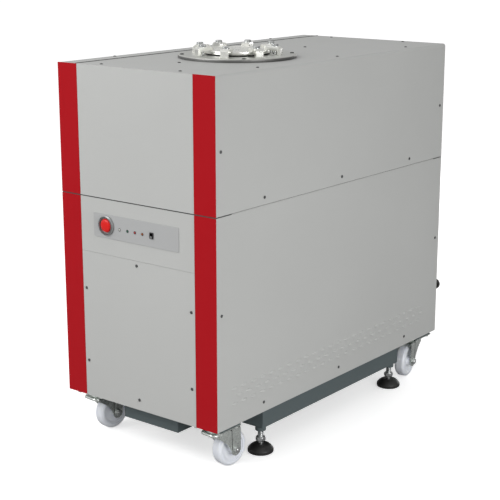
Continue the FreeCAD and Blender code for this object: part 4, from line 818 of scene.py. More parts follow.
class Finishes:
    """Every finish on the machine."""

    PANEL = PowderCoat("panel_grey_powder", srgb(184, 185, 183), 0.42, grime=0.05, dust=0.03,
                       grime_height=0.2)
    STRIP = PowderCoat("strip_red_powder", srgb(168, 16, 26), 0.4, mottle=0.05, grime=0.05, grime_height=0.2,
                       shine=0.1)
    FRAME = PowderCoat("frame_blue_grey_powder", srgb(87, 97, 99), 0.42, shine=0.2, grime=0.25, dust=0.1)
    MOTOR = PowderCoat("motor_grey_paint", srgb(86, 92, 98), 0.45, dust=0.2)
    ZINC = BareMetal("zinc_plated_sheet", srgb(226, 231, 227), 0.26, cloud=0.04, lines=520.0, grime=0.1,
                     stretch=(1.0, 1.0, 0.1), depth=0.01 * MM)
    PLATED = BareMetal("bright_plated_steel", srgb(214, 216, 216), 0.16, cloud=0.08, grime=0.1)
    STAINLESS = BareMetal("turned_stainless", srgb(243, 243, 238), 0.3, cloud=0.04)
    # The cover plate's edge below its top face wears painted shade
    COVER = BareMetal("satin_cover_plate", srgb(206, 207, 202), 0.42, cloud=0.06, dust=0.04,
                      painted_shade_top=1059 * MM)
    COLLAR = BareMetal("satin_collar", srgb(176, 178, 178), 0.3, cloud=0.06)
    DARK_METAL = BareMetal("dark_plated_fitting", srgb(74, 72, 70), 0.3, cloud=0.3)
    SCREW = BareMetal("blackened_screw", srgb(92, 93, 93), 0.4, cloud=0.2)
    ROTOR = BareMetal("ground_rotor_steel", srgb(190, 192, 190), 0.26, cloud=0.12)
    CASTING = Casting("painted_casting", srgb(92, 98, 104), 0.55, dust=0.15)
    NYLON = Moulded("white_nylon", srgb(231, 234, 240), 0.36, scatter=0.4, grime=0.1, grime_height=0.05)
    PAD = Moulded("black_foot_moulding", srgb(26, 26, 26), 0.42, grain=700.0, grime=0.14, grime_height=0.05)
    LABEL = Moulded("grey_label_film", srgb(170, 171, 171), 0.5, grain=2200.0)
    WINDOW = Moulded("gloss_black_window", srgb(20, 20, 22), 0.1, coat=0.6)
    BEZEL = Moulded("black_bezel", srgb(34, 34, 36), 0.4)
    STOP = Moulded("stop_red_moulding", srgb(212, 30, 26), 0.34, coat=0.08, shine=0.2)
    RUBBER = Moulded("black_seal_rubber", srgb(26, 26, 28), 0.6, grain=600.0)
    GASKET = Moulded("grey_gasket", srgb(74, 76, 75), 0.7, grain=600.0, shine=0.2)
    GLAND = Moulded("black_gland_nylon", srgb(30, 30, 32), 0.45)
    # Painted shade: dark finish for louvre mouths and fork-leg folds, where only shadow would be
    SHADE = Moulded("painted_shade_dark", srgb(62, 63, 62), 0.8)
    PALE_LAMP = Lens("pale_lamp", srgb(206, 208, 200), 0.2)
    GREEN_LAMP = Lens("green_lamp", srgb(22, 84, 60), 0.12)
    RED_LAMP = Lens("red_lamp", srgb(168, 48, 50), 0.12)
    AMBER_LAMP = Lens("amber_lamp", srgb(160, 92, 44), 0.12)


# Finish of every construction node, by the record's material slot, and the few that differ from their slot
SLOT_FINISH = {
    "frame_paint": Finishes.FRAME, "panel_grey": Finishes.PANEL, "strip_red": Finishes.STRIP,
    "zinc_steel": Finishes.ZINC, "nylon": Finishes.NYLON, "plated_steel": Finishes.PLATED,
    "pad_black": Finishes.PAD, "label_grey": Finishes.LABEL, "lamp_lens": Finishes.PALE_LAMP,
    "window_black": Finishes.WINDOW, "collar_metal": Finishes.COLLAR, "estop_red": Finishes.STOP,
    "flange_steel": Finishes.STAINLESS, "seal_rubber": Finishes.RUBBER, "rotor_steel": Finishes.ROTOR,
    "cast_casing": Finishes.CASTING, "motor_paint": Finishes.MOTOR, "fitting_metal": Finishes.DARK_METAL,
    "gland_plastic": Finishes.GLAND,
}
NODE_FINISH = {"inlet_plate": Finishes.COVER}


class Workshop:
    """Turns patches into pieces of the object and dresses the construction nodes."""

    WELD_GAP = 1e-5                  # points of a construction node that are closer than this are one
    MERGE_GAP = 2e-7                 # the same for a new piece
    SLIVER = 1e-7                    # shorter edges of a new piece are dissolved
    BEVEL_FROM = math.radians(40)    # angle from which an edge is bevelled
    FAR = 2.0                        # where the rays that seat a point start, outside the cabinet

    def __init__(self, frame: dict) -> None:
        """Keeps the frame's nodes, joints and material slots.

        Args:
            frame: The loaded frame.
        """
        self.nodes = frame["nodes"]
        self.joints = {joint["name"]: joint for joint in frame["joints"]}
        self.slots = {part["node"]: part["material_slot"] for part in frame["record"]["subparts"]}
        self.count = 0

    def dress_nodes(self) -> None:
        """Gives every construction node the material of its finish."""
        for name, node in self.nodes.items():
            finish = NODE_FINISH.get(name, SLOT_FINISH[self.slots[name]])
            node.data.materials.clear()
            node.data.materials.append(finish.material())

    def soften(self, node: str, width: float, segments: int = 2) -> None:
        """Eases a construction node's edges by modifiers alone: its loose corners are welded, then bevelled.

        Args:
            node: The node's name.
            width: Width of the bevel.
            segments: Parts of the bevel.
        """
        thing = self.nodes[node]
        weld = thing.modifiers.new("weld", "WELD")
        weld.merge_threshold = self.WELD_GAP
        bevel = thing.modifiers.new("bevel", "BEVEL")
        bevel.width, bevel.segments = width, segments
        bevel.limit_method, bevel.angle_limit = "ANGLE", self.BEVEL_FROM
        bevel.harden_normals = True

    def piece(self, name: str, patches: Sequence[Patch], finishes: Sequence[Finish], body: str,
              stands_for: Sequence[str] = (), sharp: float = 32.0) -> None:
        """Makes one finished piece from its patches.

        Args:
            name: The piece's name.
            patches: Its surfaces, each wearing one of the finishes by number.
            finishes: The piece's finishes.
            body: Construction body that carries it.
            stands_for: Construction nodes that it replaces.
            sharp: Angle in degrees past which an edge stays sharp.
        """
        offsets = np.cumsum([0] + [len(patch.points) for patch in patches])
        faces = [[corner + int(offset) for corner in face]
                 for patch, offset in zip(patches, offsets) for face in patch.faces]
        skins = np.repeat([patch.skin for patch in patches], [len(patch.faces) for patch in patches])
        mesh = bpy.data.meshes.new(name)
        mesh.from_pydata(np.concatenate([patch.points for patch in patches]), [], faces)
        mesh.polygons.foreach_set("material_index", skins.astype(np.int32))
        shape = bmesh.new()
        shape.from_mesh(mesh)
        bmesh.ops.remove_doubles(shape, verts=shape.verts, dist=self.MERGE_GAP)
        bmesh.ops.dissolve_degenerate(shape, edges=shape.edges, dist=self.SLIVER)
        bmesh.ops.recalc_face_normals(shape, faces=shape.faces)
        shape.to_mesh(mesh)
        shape.free()
        mesh.polygons.foreach_set("use_smooth", np.ones(len(mesh.polygons), bool))
        mesh.set_sharp_from_angle(angle=math.radians(sharp))
        for finish in finishes:
            mesh.materials.append(finish.material())
        thing = bpy.data.objects.new(name, mesh)
        bpy.context.scene.collection.objects.link(thing)
        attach(thing, body)
        if stands_for:
            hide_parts(*stands_for)
        self.count += 1
        LOG.info("%s: %d faces on %s", name, len(mesh.polygons), body)

    def seat(self, nodes: Sequence[str], points: np.ndarray, side: Side) -> np.ndarray:
        """Points moved along a side's outward direction onto the outermost of some nodes' surfaces.

        Args:
            nodes: Construction nodes that may carry the points.
            points: One row for each point, its distance from the side being of no account.
            side: The side that they sit on.

        Returns:
            The seated points, without those that miss every node.
        """
        outward = Vector(side.value)
        best: list[Vector | None] = [None] * len(points)
        for name in nodes:
            mesh = self.nodes[name].data
            tree = BVHTree.FromPolygons([v.co for v in mesh.vertices], [p.vertices for p in mesh.polygons])
            for number, point in enumerate(points):
                start = Vector(point)
                start += outward * (self.FAR - start.dot(outward))
                hit, seated = tree.ray_cast(start, -outward)[0], best[number]
                if hit is not None and (seated is None or hit.dot(outward) > seated.dot(outward)):
                    best[number] = hit
        return np.array([tuple(hit) for hit in best if hit is not None])


# Sub-assemblies
@dataclass
class CabinetSkin:
    """Screws and louvres of the cabinet's sheet panels."""

    screw_r: float = 4.4 * MM
    screw_h: float = 2.1 * MM
    louvre_length: float = 27 * MM
    louvre_height: float = 8.5 * MM
    louvre_reach: float = 3.6 * MM
    louvre_pitch: float = 40 * MM
    louvre_sink: float = 0.25 * MM
    louvre_steps: tuple[int, int] = (15, 5)
    mouth_middle: tuple[float, float] = (0.25, 0.35)    # shares of the louvre's height and reach
    louvre_rows: tuple[float, ...] = (0.193, 0.214, 0.235)
    louvre_span: tuple[float, float] = (-0.480, 0.475)
    # Screws by side: the two coordinates across the outward direction, from the middle and the floor
    side_screws: tuple[tuple[float, float], ...] = (
        (-0.532, 0.863), (0.532, 0.863), (-0.355, 0.721), (0.0, 0.721), (0.360, 0.721),
        (-0.532, 0.4436), (0.532, 0.4436), (-0.356, 0.160), (0.0, 0.160), (0.361, 0.160))
    front_screws: tuple[tuple[float, float], ...] = (
        (0.0, 0.5346), (-0.1875, 0.443), (0.1875, 0.443), (-0.187, 0.235), (0.187, 0.235), (0.0, 0.161))
    rear_screws: tuple[tuple[float, float], ...] = (
        (-0.244, 0.160), (0.244, 0.160), (-0.244, 0.420), (0.244, 0.420), (-0.244, 0.676), (0.244, 0.676),
        (-0.244, 0.724), (0.244, 0.724), (-0.244, 1.020), (0.244, 1.020), (0.0, 0.676), (0.0, 0.724),
        (0.0, 1.020))
    roof_screws: tuple[tuple[float, float], ...] = (
        (-0.252, -0.355), (-0.252, 0.0), (-0.252, 0.356), (-0.136, -0.525), (0.136, -0.525), (-0.134, 0.526),
        (0.134, 0.526), (0.0, -0.373), (0.0, 0.193), (0.235, -0.340), (0.235, 0.018), (0.235, 0.378))

    def screw(self) -> Patch:
        """Pan head with a round driver recess, turned from its profile.

        Returns:
            The head's patch, standing on Z = 0.
        """
        r, h = self.screw_r, self.screw_h
        profile = rounded([
            (0.0, 0.45 * h), (0.36 * r, 0.45 * h), (0.42 * r, h), (0.75 * r, 0.93 * h), (r, 0.45 * h),
            (r, -0.1 * h), (0.0, -0.1 * h)], 0.12 * r, steps=1, closed=False)
        return lathe(profile, steps=16)

    def screws(self, shop: Workshop, side: Side, nodes: Sequence[str],
               places: Sequence[Sequence[float]]) -> None:
        """Seats the screws of one side on its panels.

        Args:
            shop: The workshop.
            side: The side of the cabinet.
            nodes: Panels that may carry them.
            places: For each screw the two coordinates that are not along the side's outward direction.
        """
        keep = [axis for axis in range(3) if side.value[axis] == 0.0]
        points = np.zeros((len(places), 3))
        points[:, keep] = np.array(places)
        points[:, 1] += CABINET_Y
        seats = shop.seat(nodes, points, side)
        patch = self.screw().placed(side.axes, (0.0, 0.0, 0.0)).repeated(seats)
        shop.piece(f"panel_screws_{side.name.lower()}", [patch], [Finishes.SCREW], CABINET)

    def louvre(self) -> list[Patch]:
        """One pressed louvre about its own origin: X along it, Y up, Z outwards.

        Its height at x is c = H (1 - (2x/L)^2) and its reach is d = D (1 - (2x/L)^2). The hood runs over
        y = c (sin t - 0.5), z = d cos t for t from 0 to a right angle. Below it a mouth in painted shade,
        dark for the shadow inside the louvre, runs back to the panel, and a flat back in the panel closes
        both.

        Returns:
            Hood, mouth and back.
        """
        along, around = self.louvre_steps
        middle_rise, middle_reach = self.mouth_middle
        x = np.linspace(-1.0, 1.0, along)[:, None]
        lens = 1.0 - x ** 2
        turn = np.linspace(0.0, np.pi / 2, around)[None, :]
        up = self.louvre_height * lens * (np.sin(turn) - 0.5)
        out = self.louvre_reach * lens * np.cos(turn)
        out[:, -1] -= self.louvre_sink

        def sheet(rise: np.ndarray, reach: np.ndarray, skin: int) -> Patch:
            """Grid along the louvre from its points' heights and distances from the panel."""
            points = np.stack([x * self.louvre_length / 2 + 0 * rise, rise, reach], -1).reshape(-1, 3)
            return Patch(points, grid_faces(*rise.shape, close_columns=False), skin)

        # The mouth wears the second finish: painted shade for the shadow inside the louvre
        low, lip, sunk = up[:, :1], out[:, :1], 0 * x - self.louvre_sink
        mouth = sheet(np.hstack([low, low + middle_rise * self.louvre_height * lens, low]),
                      np.hstack([lip, middle_reach * lip, sunk]), 1)
        back = sheet(up[:, [0, -1]], np.hstack([sunk, sunk]), 0)
        return [sheet(up, out, 0), mouth, back]

    def louvres(self, shop: Workshop, side: Side, node: str) -> None:
        """Three staggered rows of louvres on one side.

        Args:
            shop: The workshop.
            side: Left or right side.
            node: Its panel.
        """
        first, last = self.louvre_span
        rows = []
        for number, height in enumerate(self.louvre_rows):
            start = first + (self.louvre_pitch / 2 if number == 1 else 0.0)
            along = np.arange(start, last, self.louvre_pitch)
            rows.append(np.stack([0 * along, along + CABINET_Y, 0 * along + height], -1))
        seats = shop.seat([node], np.concatenate(rows), side)
        patches = [patch.placed(side.axes, (0.0, 0.0, 0.0)).repeated(seats) for patch in self.louvre()]
        shop.piece(f"side_louvres_{side.name.lower()}", patches, [Finishes.PANEL, Finishes.SHADE], CABINET,
                   sharp=50.0)

    def build(self, shop: Workshop) -> None:
        """Adds every screw and louvre.

        Args:
            shop: The workshop.
        """
        self.screws(shop, Side.RIGHT, ["side_panel_right", "hood_right"], self.side_screws)
        self.screws(shop, Side.LEFT, ["side_panel_left", "hood_left"], self.side_screws)
        self.screws(shop, Side.FRONT, ["front_panel_lower", "front_panel_upper"], self.front_screws)
        self.screws(shop, Side.REAR, ["rear_panels"], self.rear_screws)
        self.screws(shop, Side.ROOF, ["hood_right", "hood_left"], self.roof_screws)
        self.louvres(shop, Side.RIGHT, "side_panel_right")
        self.louvres(shop, Side.LEFT, "side_panel_left")


@dataclass
class Seals:
    """Gasket and pale lips in the open joint between the two cabinets, and the bead in the roof joint."""

    half_x: float = 270 * MM
    half_y: float = 553 * MM
    joint: tuple[float, float] = (0.69855, 0.70145)
    inset: float = 0.8 * MM
    thickness: float = 1.0 * MM
    lip_span: tuple[float, float] = (-0.489, 0.503)
    lip_height: float = 1.9 * MM
    lip_inset: float = 0.25 * MM
    lip_depth: float = 1.15 * MM
    lip_ease: float = 0.3 * MM
    lip_edge: float = 0.2 * MM
    bead_x: float = -205.0 * MM
    bead_width: float = 2.6 * MM
    bead_height: float = 1.4 * MM
    bead_sunk: float = 0.3 * MM
    bead_short: float = 3 * MM
    bead_arc: int = 7

    def gasket(self) -> Patch:
        """Band with a square section round the cabinet, one ring of four corners.

        Returns:
            The band's patch.
        """
        low, high = self.joint
        outer, inner = self.inset, self.inset + self.thickness
        section = np.array([(outer, low), (outer, high), (inner, high), (inner, low)])
        signs = np.array([(-1, -1), (1, -1), (1, 1), (-1, 1)])
        x = signs[:, None, 0] * (self.half_x - section[None, :, 0])
        y = signs[:, None, 1] * (self.half_y - section[None, :, 0]) + CABINET_Y
        points = np.stack([x, y, section[None, :, 1] + 0 * x], -1).reshape(-1, 3)
        return Patch(points, grid_faces(4, 4, close_rows=True))

    def lip(self, side: Side) -> Patch:
        """Flange edge of a side panel that fills the lower part of the joint, short of both corners.

        Args:
            side: Left or right side.

        Returns:
            The flange edge's patch.
        """
        start, end = self.lip_span
        outline, face = rectangle(end - start, self.lip_height, self.lip_ease), -self.lip_inset
        strip = slab(outline, face - self.lip_depth, face, self.lip_edge)
        middle = self.joint[0] + self.lip_height / 2
        return strip.placed(side.axes, (side.value[0] * self.half_x, (start + end) / 2 + CABINET_Y, middle))

    def bead(self, top: float) -> Patch:
        """Low bead along the roof joint, half of an ellipse carried along Y.

        Args:
            top: Height of the roof.

        Returns:
            The bead's patch.
        """
        count, sunk = self.bead_arc, self.bead_sunk
        turn = np.linspace(0.0, np.pi, count)[None, :]
        along = np.array([-1.0, 1.0])[:, None] * (self.half_y - self.bead_short) + CABINET_Y
        x = self.bead_x + self.bead_width / 2 * np.cos(turn) + 0 * along
        z = top - sunk + (self.bead_height + sunk) * np.sin(turn) + 0 * along
        points = np.stack([x, along + 0 * x, z], -1).reshape(-1, 3)
        ends = [list(range(count)), list(range(count, 2 * count))[::-1]]
        return Patch(points, grid_faces(2, count) + ends)

    def build(self, shop: Workshop) -> None:
        """Adds the gasket, the lips and the bead.

        Args:
            shop: The workshop.
        """
        shop.piece("seam_gasket", [self.gasket()], [Finishes.GASKET], CABINET)
        shop.piece("joint_lips", [self.lip(Side.RIGHT), self.lip(Side.LEFT)], [Finishes.PANEL], CABINET)
        shop.piece("roof_joint_bead", [self.bead(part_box("hood_right")[1].z)], [Finishes.GASKET], CABINET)


@dataclass
class ControlPanel:
    """Label film, lamps, small window and emergency stop on the fascia."""

    lamps: tuple[Finish, ...] = (
        Finishes.PALE_LAMP, Finishes.GREEN_LAMP, Finishes.RED_LAMP, Finishes.AMBER_LAMP)
    lamp_x: tuple[float, ...] = (-57.3 * MM, -28.6 * MM, -2.3 * MM, 24.0 * MM)
    label_ease: float = 4 * MM
    label_edge: float = 0.35 * MM
    bezel_wall: float = 1.7 * MM
    bezel_ease: float = 2.2 * MM
    bezel_edge: float = 0.7 * MM
    bezel_sunk: float = 0.3 * MM
    pane_ease: float = 1.4 * MM
    pane_edge: float = 0.2 * MM
    pane_height: float = 0.5 * MM
    tongue_size: tuple[float, float] = (0.24, 0.36)    # shares of the window's width and height
    tongue_drop: float = 0.22
    tongue_ease: float = 0.5 * MM
    tongue_edge: float = 0.1 * MM
    tongue_span: tuple[float, float] = (-0.3 * MM, 0.1 * MM)
    cap_thickness: float = 12 * MM
    cap_play: float = 1.2 * MM
    collar_r: float = 27.2 * MM
    collar_slope: float = 2.6 * MM
    cup_r: float = 21.3 * MM
    cup_wall: float = 0.9 * MM
    cup_depth: float = 9 * MM

    def build_lamps(self, shop: Workshop) -> None:
        """Four domed lenses, each in a thin dark bezel, in place of the plain ones.

        Args:
            shop: The workshop.
        """
        low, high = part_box("indicator_lamps")
        r, z, face = (high.z - low.z) / 2, (high.z + low.z) / 2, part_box("label_plate")[0].y
        reach = face - low.y
        dome = rounded([(0.0, reach), (0.5 * r, 0.86 * reach), (0.74 * r, 0.35 * reach),
                        (0.76 * r, -0.2 * reach), (0.0, -0.2 * reach)], 0.2 * r, steps=3, closed=False)
        ring = rounded([(0.74 * r, -0.2 * reach), (0.74 * r, 0.42 * reach), (0.94 * r, 0.42 * reach),
                        (r, 0.2 * reach), (r, -0.2 * reach)], 0.06 * r, steps=2)
        patches = []
        for number, x in enumerate(self.lamp_x):
            at = (x, face, z)
            patches.append(lathe(dome, steps=24, skin=number + 1).placed(Side.FRONT.axes, at))
            patches.append(lathe(ring, steps=24, closed=True).placed(Side.FRONT.axes, at))
        shop.piece("lamp_lenses", patches, [Finishes.BEZEL, *self.lamps], CABINET,
                   ["indicator_lamps"])

    def build_window(self, shop: Workshop) -> None:
        """Small black window: an eased bezel with a gloss pane and a pale tongue in it.

        Args:
            shop: The workshop.
        """
        low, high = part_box("service_window")
        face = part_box("label_plate")[0].y
        width, height, reach = high.x - low.x, high.z - low.z, face - low.y
        at = ((low.x + high.x) / 2, face, (low.z + high.z) / 2)
        outer = rectangle(width, height, self.bezel_ease)
        inner = rectangle(width - 2 * self.bezel_wall, height - 2 * self.bezel_wall, self.pane_ease)
        frame = slab(outer, -self.bezel_sunk, reach, self.bezel_edge)
        pane = slab(inner, reach - self.pane_height, reach, self.pane_edge, skin=1)
        wide, tall = self.tongue_size
        low_end, high_end = self.tongue_span
        tab = rectangle(wide * width, tall * height, self.tongue_ease) - [0.0, self.tongue_drop * height]
        tongue = slab(tab, reach + low_end, reach + high_end, self.tongue_edge, skin=2)
        shop.piece("window_bezel", [patch.placed(Side.FRONT.axes, at) for patch in (frame, pane, tongue)],
                   [Finishes.BEZEL, Finishes.WINDOW, Finishes.LABEL], CABINET,
                   ["service_window"])

    def build_label(self, shop: Workshop) -> None:
        """Bare film plate with eased corners and edges.

        Args:
            shop: The workshop.
        """
        low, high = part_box("label_plate")
        at = ((low.x + high.x) / 2, high.y, (low.z + high.z) / 2)
        outline = rectangle(high.x - low.x, high.z - low.z, self.label_ease)
        plate = slab(outline, 0.0, high.y - low.y, self.label_edge)
        shop.piece("label_film", [plate.placed(Side.FRONT.axes, at)], [Finishes.LABEL], CABINET,
                   ["label_plate"])

    def build_stop(self, shop: Workshop) -> None:
        """Mushroom button with a domed face and a grip ring, and its collar.

        Args:
            shop: The workshop.
        """
        low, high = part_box("estop_button")
        x, z, r = (low.x + high.x) / 2, (low.z + high.z) / 2, (high.x - low.x) / 2 - self.cap_play
        t, stem, root = self.cap_thickness, 0.45 * r, low.y - high.y
        ease = np.array([0, 0.1, 0.1, 0.09, 0.08, 0.05, 0.04, 0.02, 0, 0]) * r
        cap = rounded([
            (0.0, 0.0), (0.4 * r, -0.02 * r), (0.7 * r, -0.07 * r), (0.93 * r, -0.2 * r), (r, -0.36 * r),
            (r, -0.86 * t), (0.88 * r, -t), (stem, -t), (stem, root), (0.0, root)],
            ease, steps=3, closed=False)
        groove = np.where((cap[:, 0] > 0.96 * r) & (cap[:, 1] > -1.05 * t), 0.02 * r, 0.0)
        button = lathe(cap, steps=96, waves=24, depth=groove)
        shop.piece("stop_button", [button.placed(Side.FRONT.axes, (x, low.y, z))], [Finishes.STOP],
                   "emergency_stop", ["estop_button"])
        self.build_collar(shop, x, z)

    def build_collar(self, shop: Workshop, x: float, z: float) -> None:
        """Eased ring that guards the stop button, with a cup that runs back round the cap.

        Args:
            shop: The workshop.
            x: Place of the button's axis across the front.
            z: Height of the button's axis.
        """
        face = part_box("label_plate")[0].y
        wide, cup, slope = self.collar_r, self.cup_r, self.collar_slope
        reach, outer_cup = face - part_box("estop_collar")[0].y, self.cup_r + self.cup_wall
        ring = rounded([
            (cup, -self.cup_depth), (cup, reach - 1.2 * MM), (cup + 1.0 * MM, reach), (wide - slope, reach),
            (wide - 0.2 * MM, reach - slope), (wide, 0.2 * MM), (wide, -0.2 * MM), (outer_cup, -0.2 * MM),
            (outer_cup, -self.cup_depth)], 0.5 * MM, steps=3)
        collar = lathe(ring, steps=96, closed=True)
        shop.piece("stop_collar_ring", [collar.placed(Side.FRONT.axes, (x, face, z))], [Finishes.COLLAR],
                   CABINET)

    def build(self, shop: Workshop) -> None:
        """Adds the control panel's pieces.

        Args:
            shop: The workshop.
        """
        self.build_label(shop)
        self.build_lamps(shop)
        self.build_window(shop)
        self.build_stop(shop)


@dataclass
class InletTop:
    """Screws, clamp bolts and eased edges of the blanked vacuum inlet on the roof."""

    screw_count: int = 4
    screw_turn: float = 45.0
    screw_in: float = 11 * MM
    screw_r: float = 5.6 * MM
    screw_h: float = 2.6 * MM
    bolt_count: int = 8
    bolt_turn: float = 22.5
    bolt_reach: float = 107 * MM
    bolt_flats: float = 17 * MM
    shank_r: float = 5 * MM
    washer_r: float = 10.5 * MM
    washer_h: float = 1.2 * MM
    eased: tuple[tuple[str, float], ...] = (
        ("claw_clamps", 0.7 * MM), ("blank_flange", 0.5 * MM), ("inlet_plate", 0.4 * MM))

    def spots(self, count: int, turn: float, centre: Sequence[float], reach: float) -> np.ndarray:
        """Places spread evenly round a centre.

        Args:
            count: How many.
            turn: Angle of the first one in degrees.
            centre: The centre.
            reach: Distance from the centre.

        Returns:
            One row for each place.
        """
        angle = np.radians(turn + np.arange(count) * 360.0 / count)
        return np.asarray(centre) + reach * np.stack([np.cos(angle), np.sin(angle), 0 * angle], -1)

    def build_screws(self, shop: Workshop) -> None:
        """Low cylinder-head screws near the cover plate's rim.

        Args:
            shop: The workshop.
        """
        low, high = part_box("inlet_plate")
        r, h = self.screw_r, self.screw_h
        profile = rounded([(0.0, 0.4 * h), (0.45 * r, 0.4 * h), (0.5 * r, h), (0.85 * r, h), (r, 0.6 * h),
                           (r, -0.1 * h), (0.0, -0.1 * h)], 0.1 * r, steps=1, closed=False)
        centre = ((low.x + high.x) / 2, (low.y + high.y) / 2, high.z)
        spots = self.spots(self.screw_count, self.screw_turn, centre, (high.x - low.x) / 2 - self.screw_in)
        shop.piece("inlet_rim_screws", [lathe(profile, steps=18).repeated(spots)], [Finishes.SCREW], CABINET)

    def build_bolts(self, shop: Workshop) -> None:
        """Clamp bolts with chamfered heads, washers and shanks, in place of the plain ones.

        Args:
            shop: The workshop.
        """
        low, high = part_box("claw_bolts")
        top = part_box("claw_clamps")[1].z
        seat = top + self.washer_h
        washer = rounded([(0.0, top), (self.washer_r, top), (self.washer_r, seat), (0.0, seat)], 0.2 * MM,
                         steps=1, closed=False)
        shank = rounded([(0.0, low.z), (self.shank_r, low.z), (self.shank_r, top), (0.0, top)], 0.5 * MM,
                        steps=1, closed=False)
        centre = ((low.x + high.x) / 2, (low.y + high.y) / 2, 0.0)
        spots = self.spots(self.bolt_count, self.bolt_turn, centre, self.bolt_reach)
        parts = (lathe(washer, steps=24), nut(self.bolt_flats, seat, high.z), lathe(shank, steps=16))
        shop.piece("clamp_bolts", [part.repeated(spots) for part in parts], [Finishes.PLATED], CABINET,
                   ["claw_bolts"])

    def build(self, shop: Workshop) -> None:
        """Adds screws and bolts and softens the construction nodes.

        Args:
            shop: The workshop.
        """
        self.build_screws(shop)
        for node, width in self.eased:
            shop.soften(node, width)
        self.build_bolts(shop)


@dataclass
class Feet:
    """Threaded stems and domed pads of the four levelling feet."""

    stem_r: float = 8 * MM
    pitch: float = 2.0 * MM
    thread_depth: float = 0.9 * MM
    flats: float = 24 * MM
    hex_low: float = 32 * MM
    hex_high: float = 45 * MM
    sunk: float = 4 * MM
    rim_h: float = 11.5 * MM
    crown: float = 4 * MM
    dome_power: float = 2.4
    neck_r: float = 12 * MM
    socket_r: float = 8.4 * MM
    ribs: int = 60
    rib_depth: float = 0.5 * MM

    def stem(self, low: float, high: float, pad_top: float) -> list[Patch]:
        """Threaded rod, the plain stretch below its hexagon and the hexagon.

        Args:
            low: Lower end of the rod.
            high: Upper end of the rod.
            pad_top: Height of the construction model's pad.

        Returns:
            Rod, plain stretch and hexagon about the foot's axis.
        """
        r = self.stem_r + 0.02 * MM
        foot = pad_top - self.sunk
        plain = np.array([(0.0, foot), (r, foot), (r, self.hex_low), (0.0, self.hex_low)])
        return [thread(self.stem_r, low, high, self.pitch, self.thread_depth), lathe(plain, steps=32),
                nut(self.flats, self.hex_low, self.hex_high)]

    def pad(self, r: float, pad_top: float) -> Patch:
        """Ribbed rim, a dome and the socket that the stem stands in.

        The dome runs from the rim at r1 to the neck at r2 with radius r1 - (r1 - r2) t and height
        z1 + (z2 - z1) (1 - (1 - t)^n) for t from 0 to 1.

        Args:
            r: Radius of the rim.
            pad_top: Height of the construction model's pad.

        Returns:
            The pad's patch about the foot's axis.
        """
        rim, top, ease = self.rim_h, pad_top + self.crown, 1.2 * MM
        base = rounded([(0.0, 0.0), (r - 3 * MM, 0.0), (r, 2.4 * MM), (r, rim - 1 * MM),
                        (r - 1.6 * MM, rim + 1 * MM)], ease, steps=3, closed=False)
        t = np.linspace(0.0, 1.0, 12)
        outer, foot = r - 1.8 * MM, rim + ease
        dome = np.stack([outer - (outer - self.neck_r) * t,
                         foot + (top - foot) * (1.0 - (1.0 - t) ** self.dome_power)], -1)
        cup = np.array([(self.neck_r - 1.5 * MM, top), (self.socket_r, top), (self.socket_r, top - 3 * MM),
                        (0.0, top - 3 * MM)])
        profile = np.concatenate([base, dome, cup])
        radius, height = profile.T
        ribbed = (radius > r - 0.8 * MM) & (height > 1.4 * MM) & (height < rim)
        depth = np.where(ribbed, self.rib_depth, 0.0)
        return lathe(profile, steps=180, waves=self.ribs, depth=depth)

    def build(self, shop: Workshop) -> None:
        """Adds one stem and one pad for each foot.

        Args:
            shop: The workshop.
        """
        for corner in CORNERS:
            body = f"foot_{corner}"
            low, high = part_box(f"foot_pad_{corner}")
            stem_low, stem_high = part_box(f"foot_stem_{corner}")
            at = ((low.x + high.x) / 2, (low.y + high.y) / 2, 0.0)
            stem = self.stem(stem_low.z, stem_high.z, high.z)
            shop.piece(f"threaded_stem_{corner}", [patch.placed(np.eye(3), at) for patch in stem],
                       [Finishes.PLATED], body, [f"foot_stem_{corner}"])
            pad = self.pad((high.x - low.x) / 2, high.z).placed(np.eye(3), at)
            shop.piece(f"domed_pad_{corner}", [pad], [Finishes.PAD], body,
                       [f"foot_pad_{corner}"])


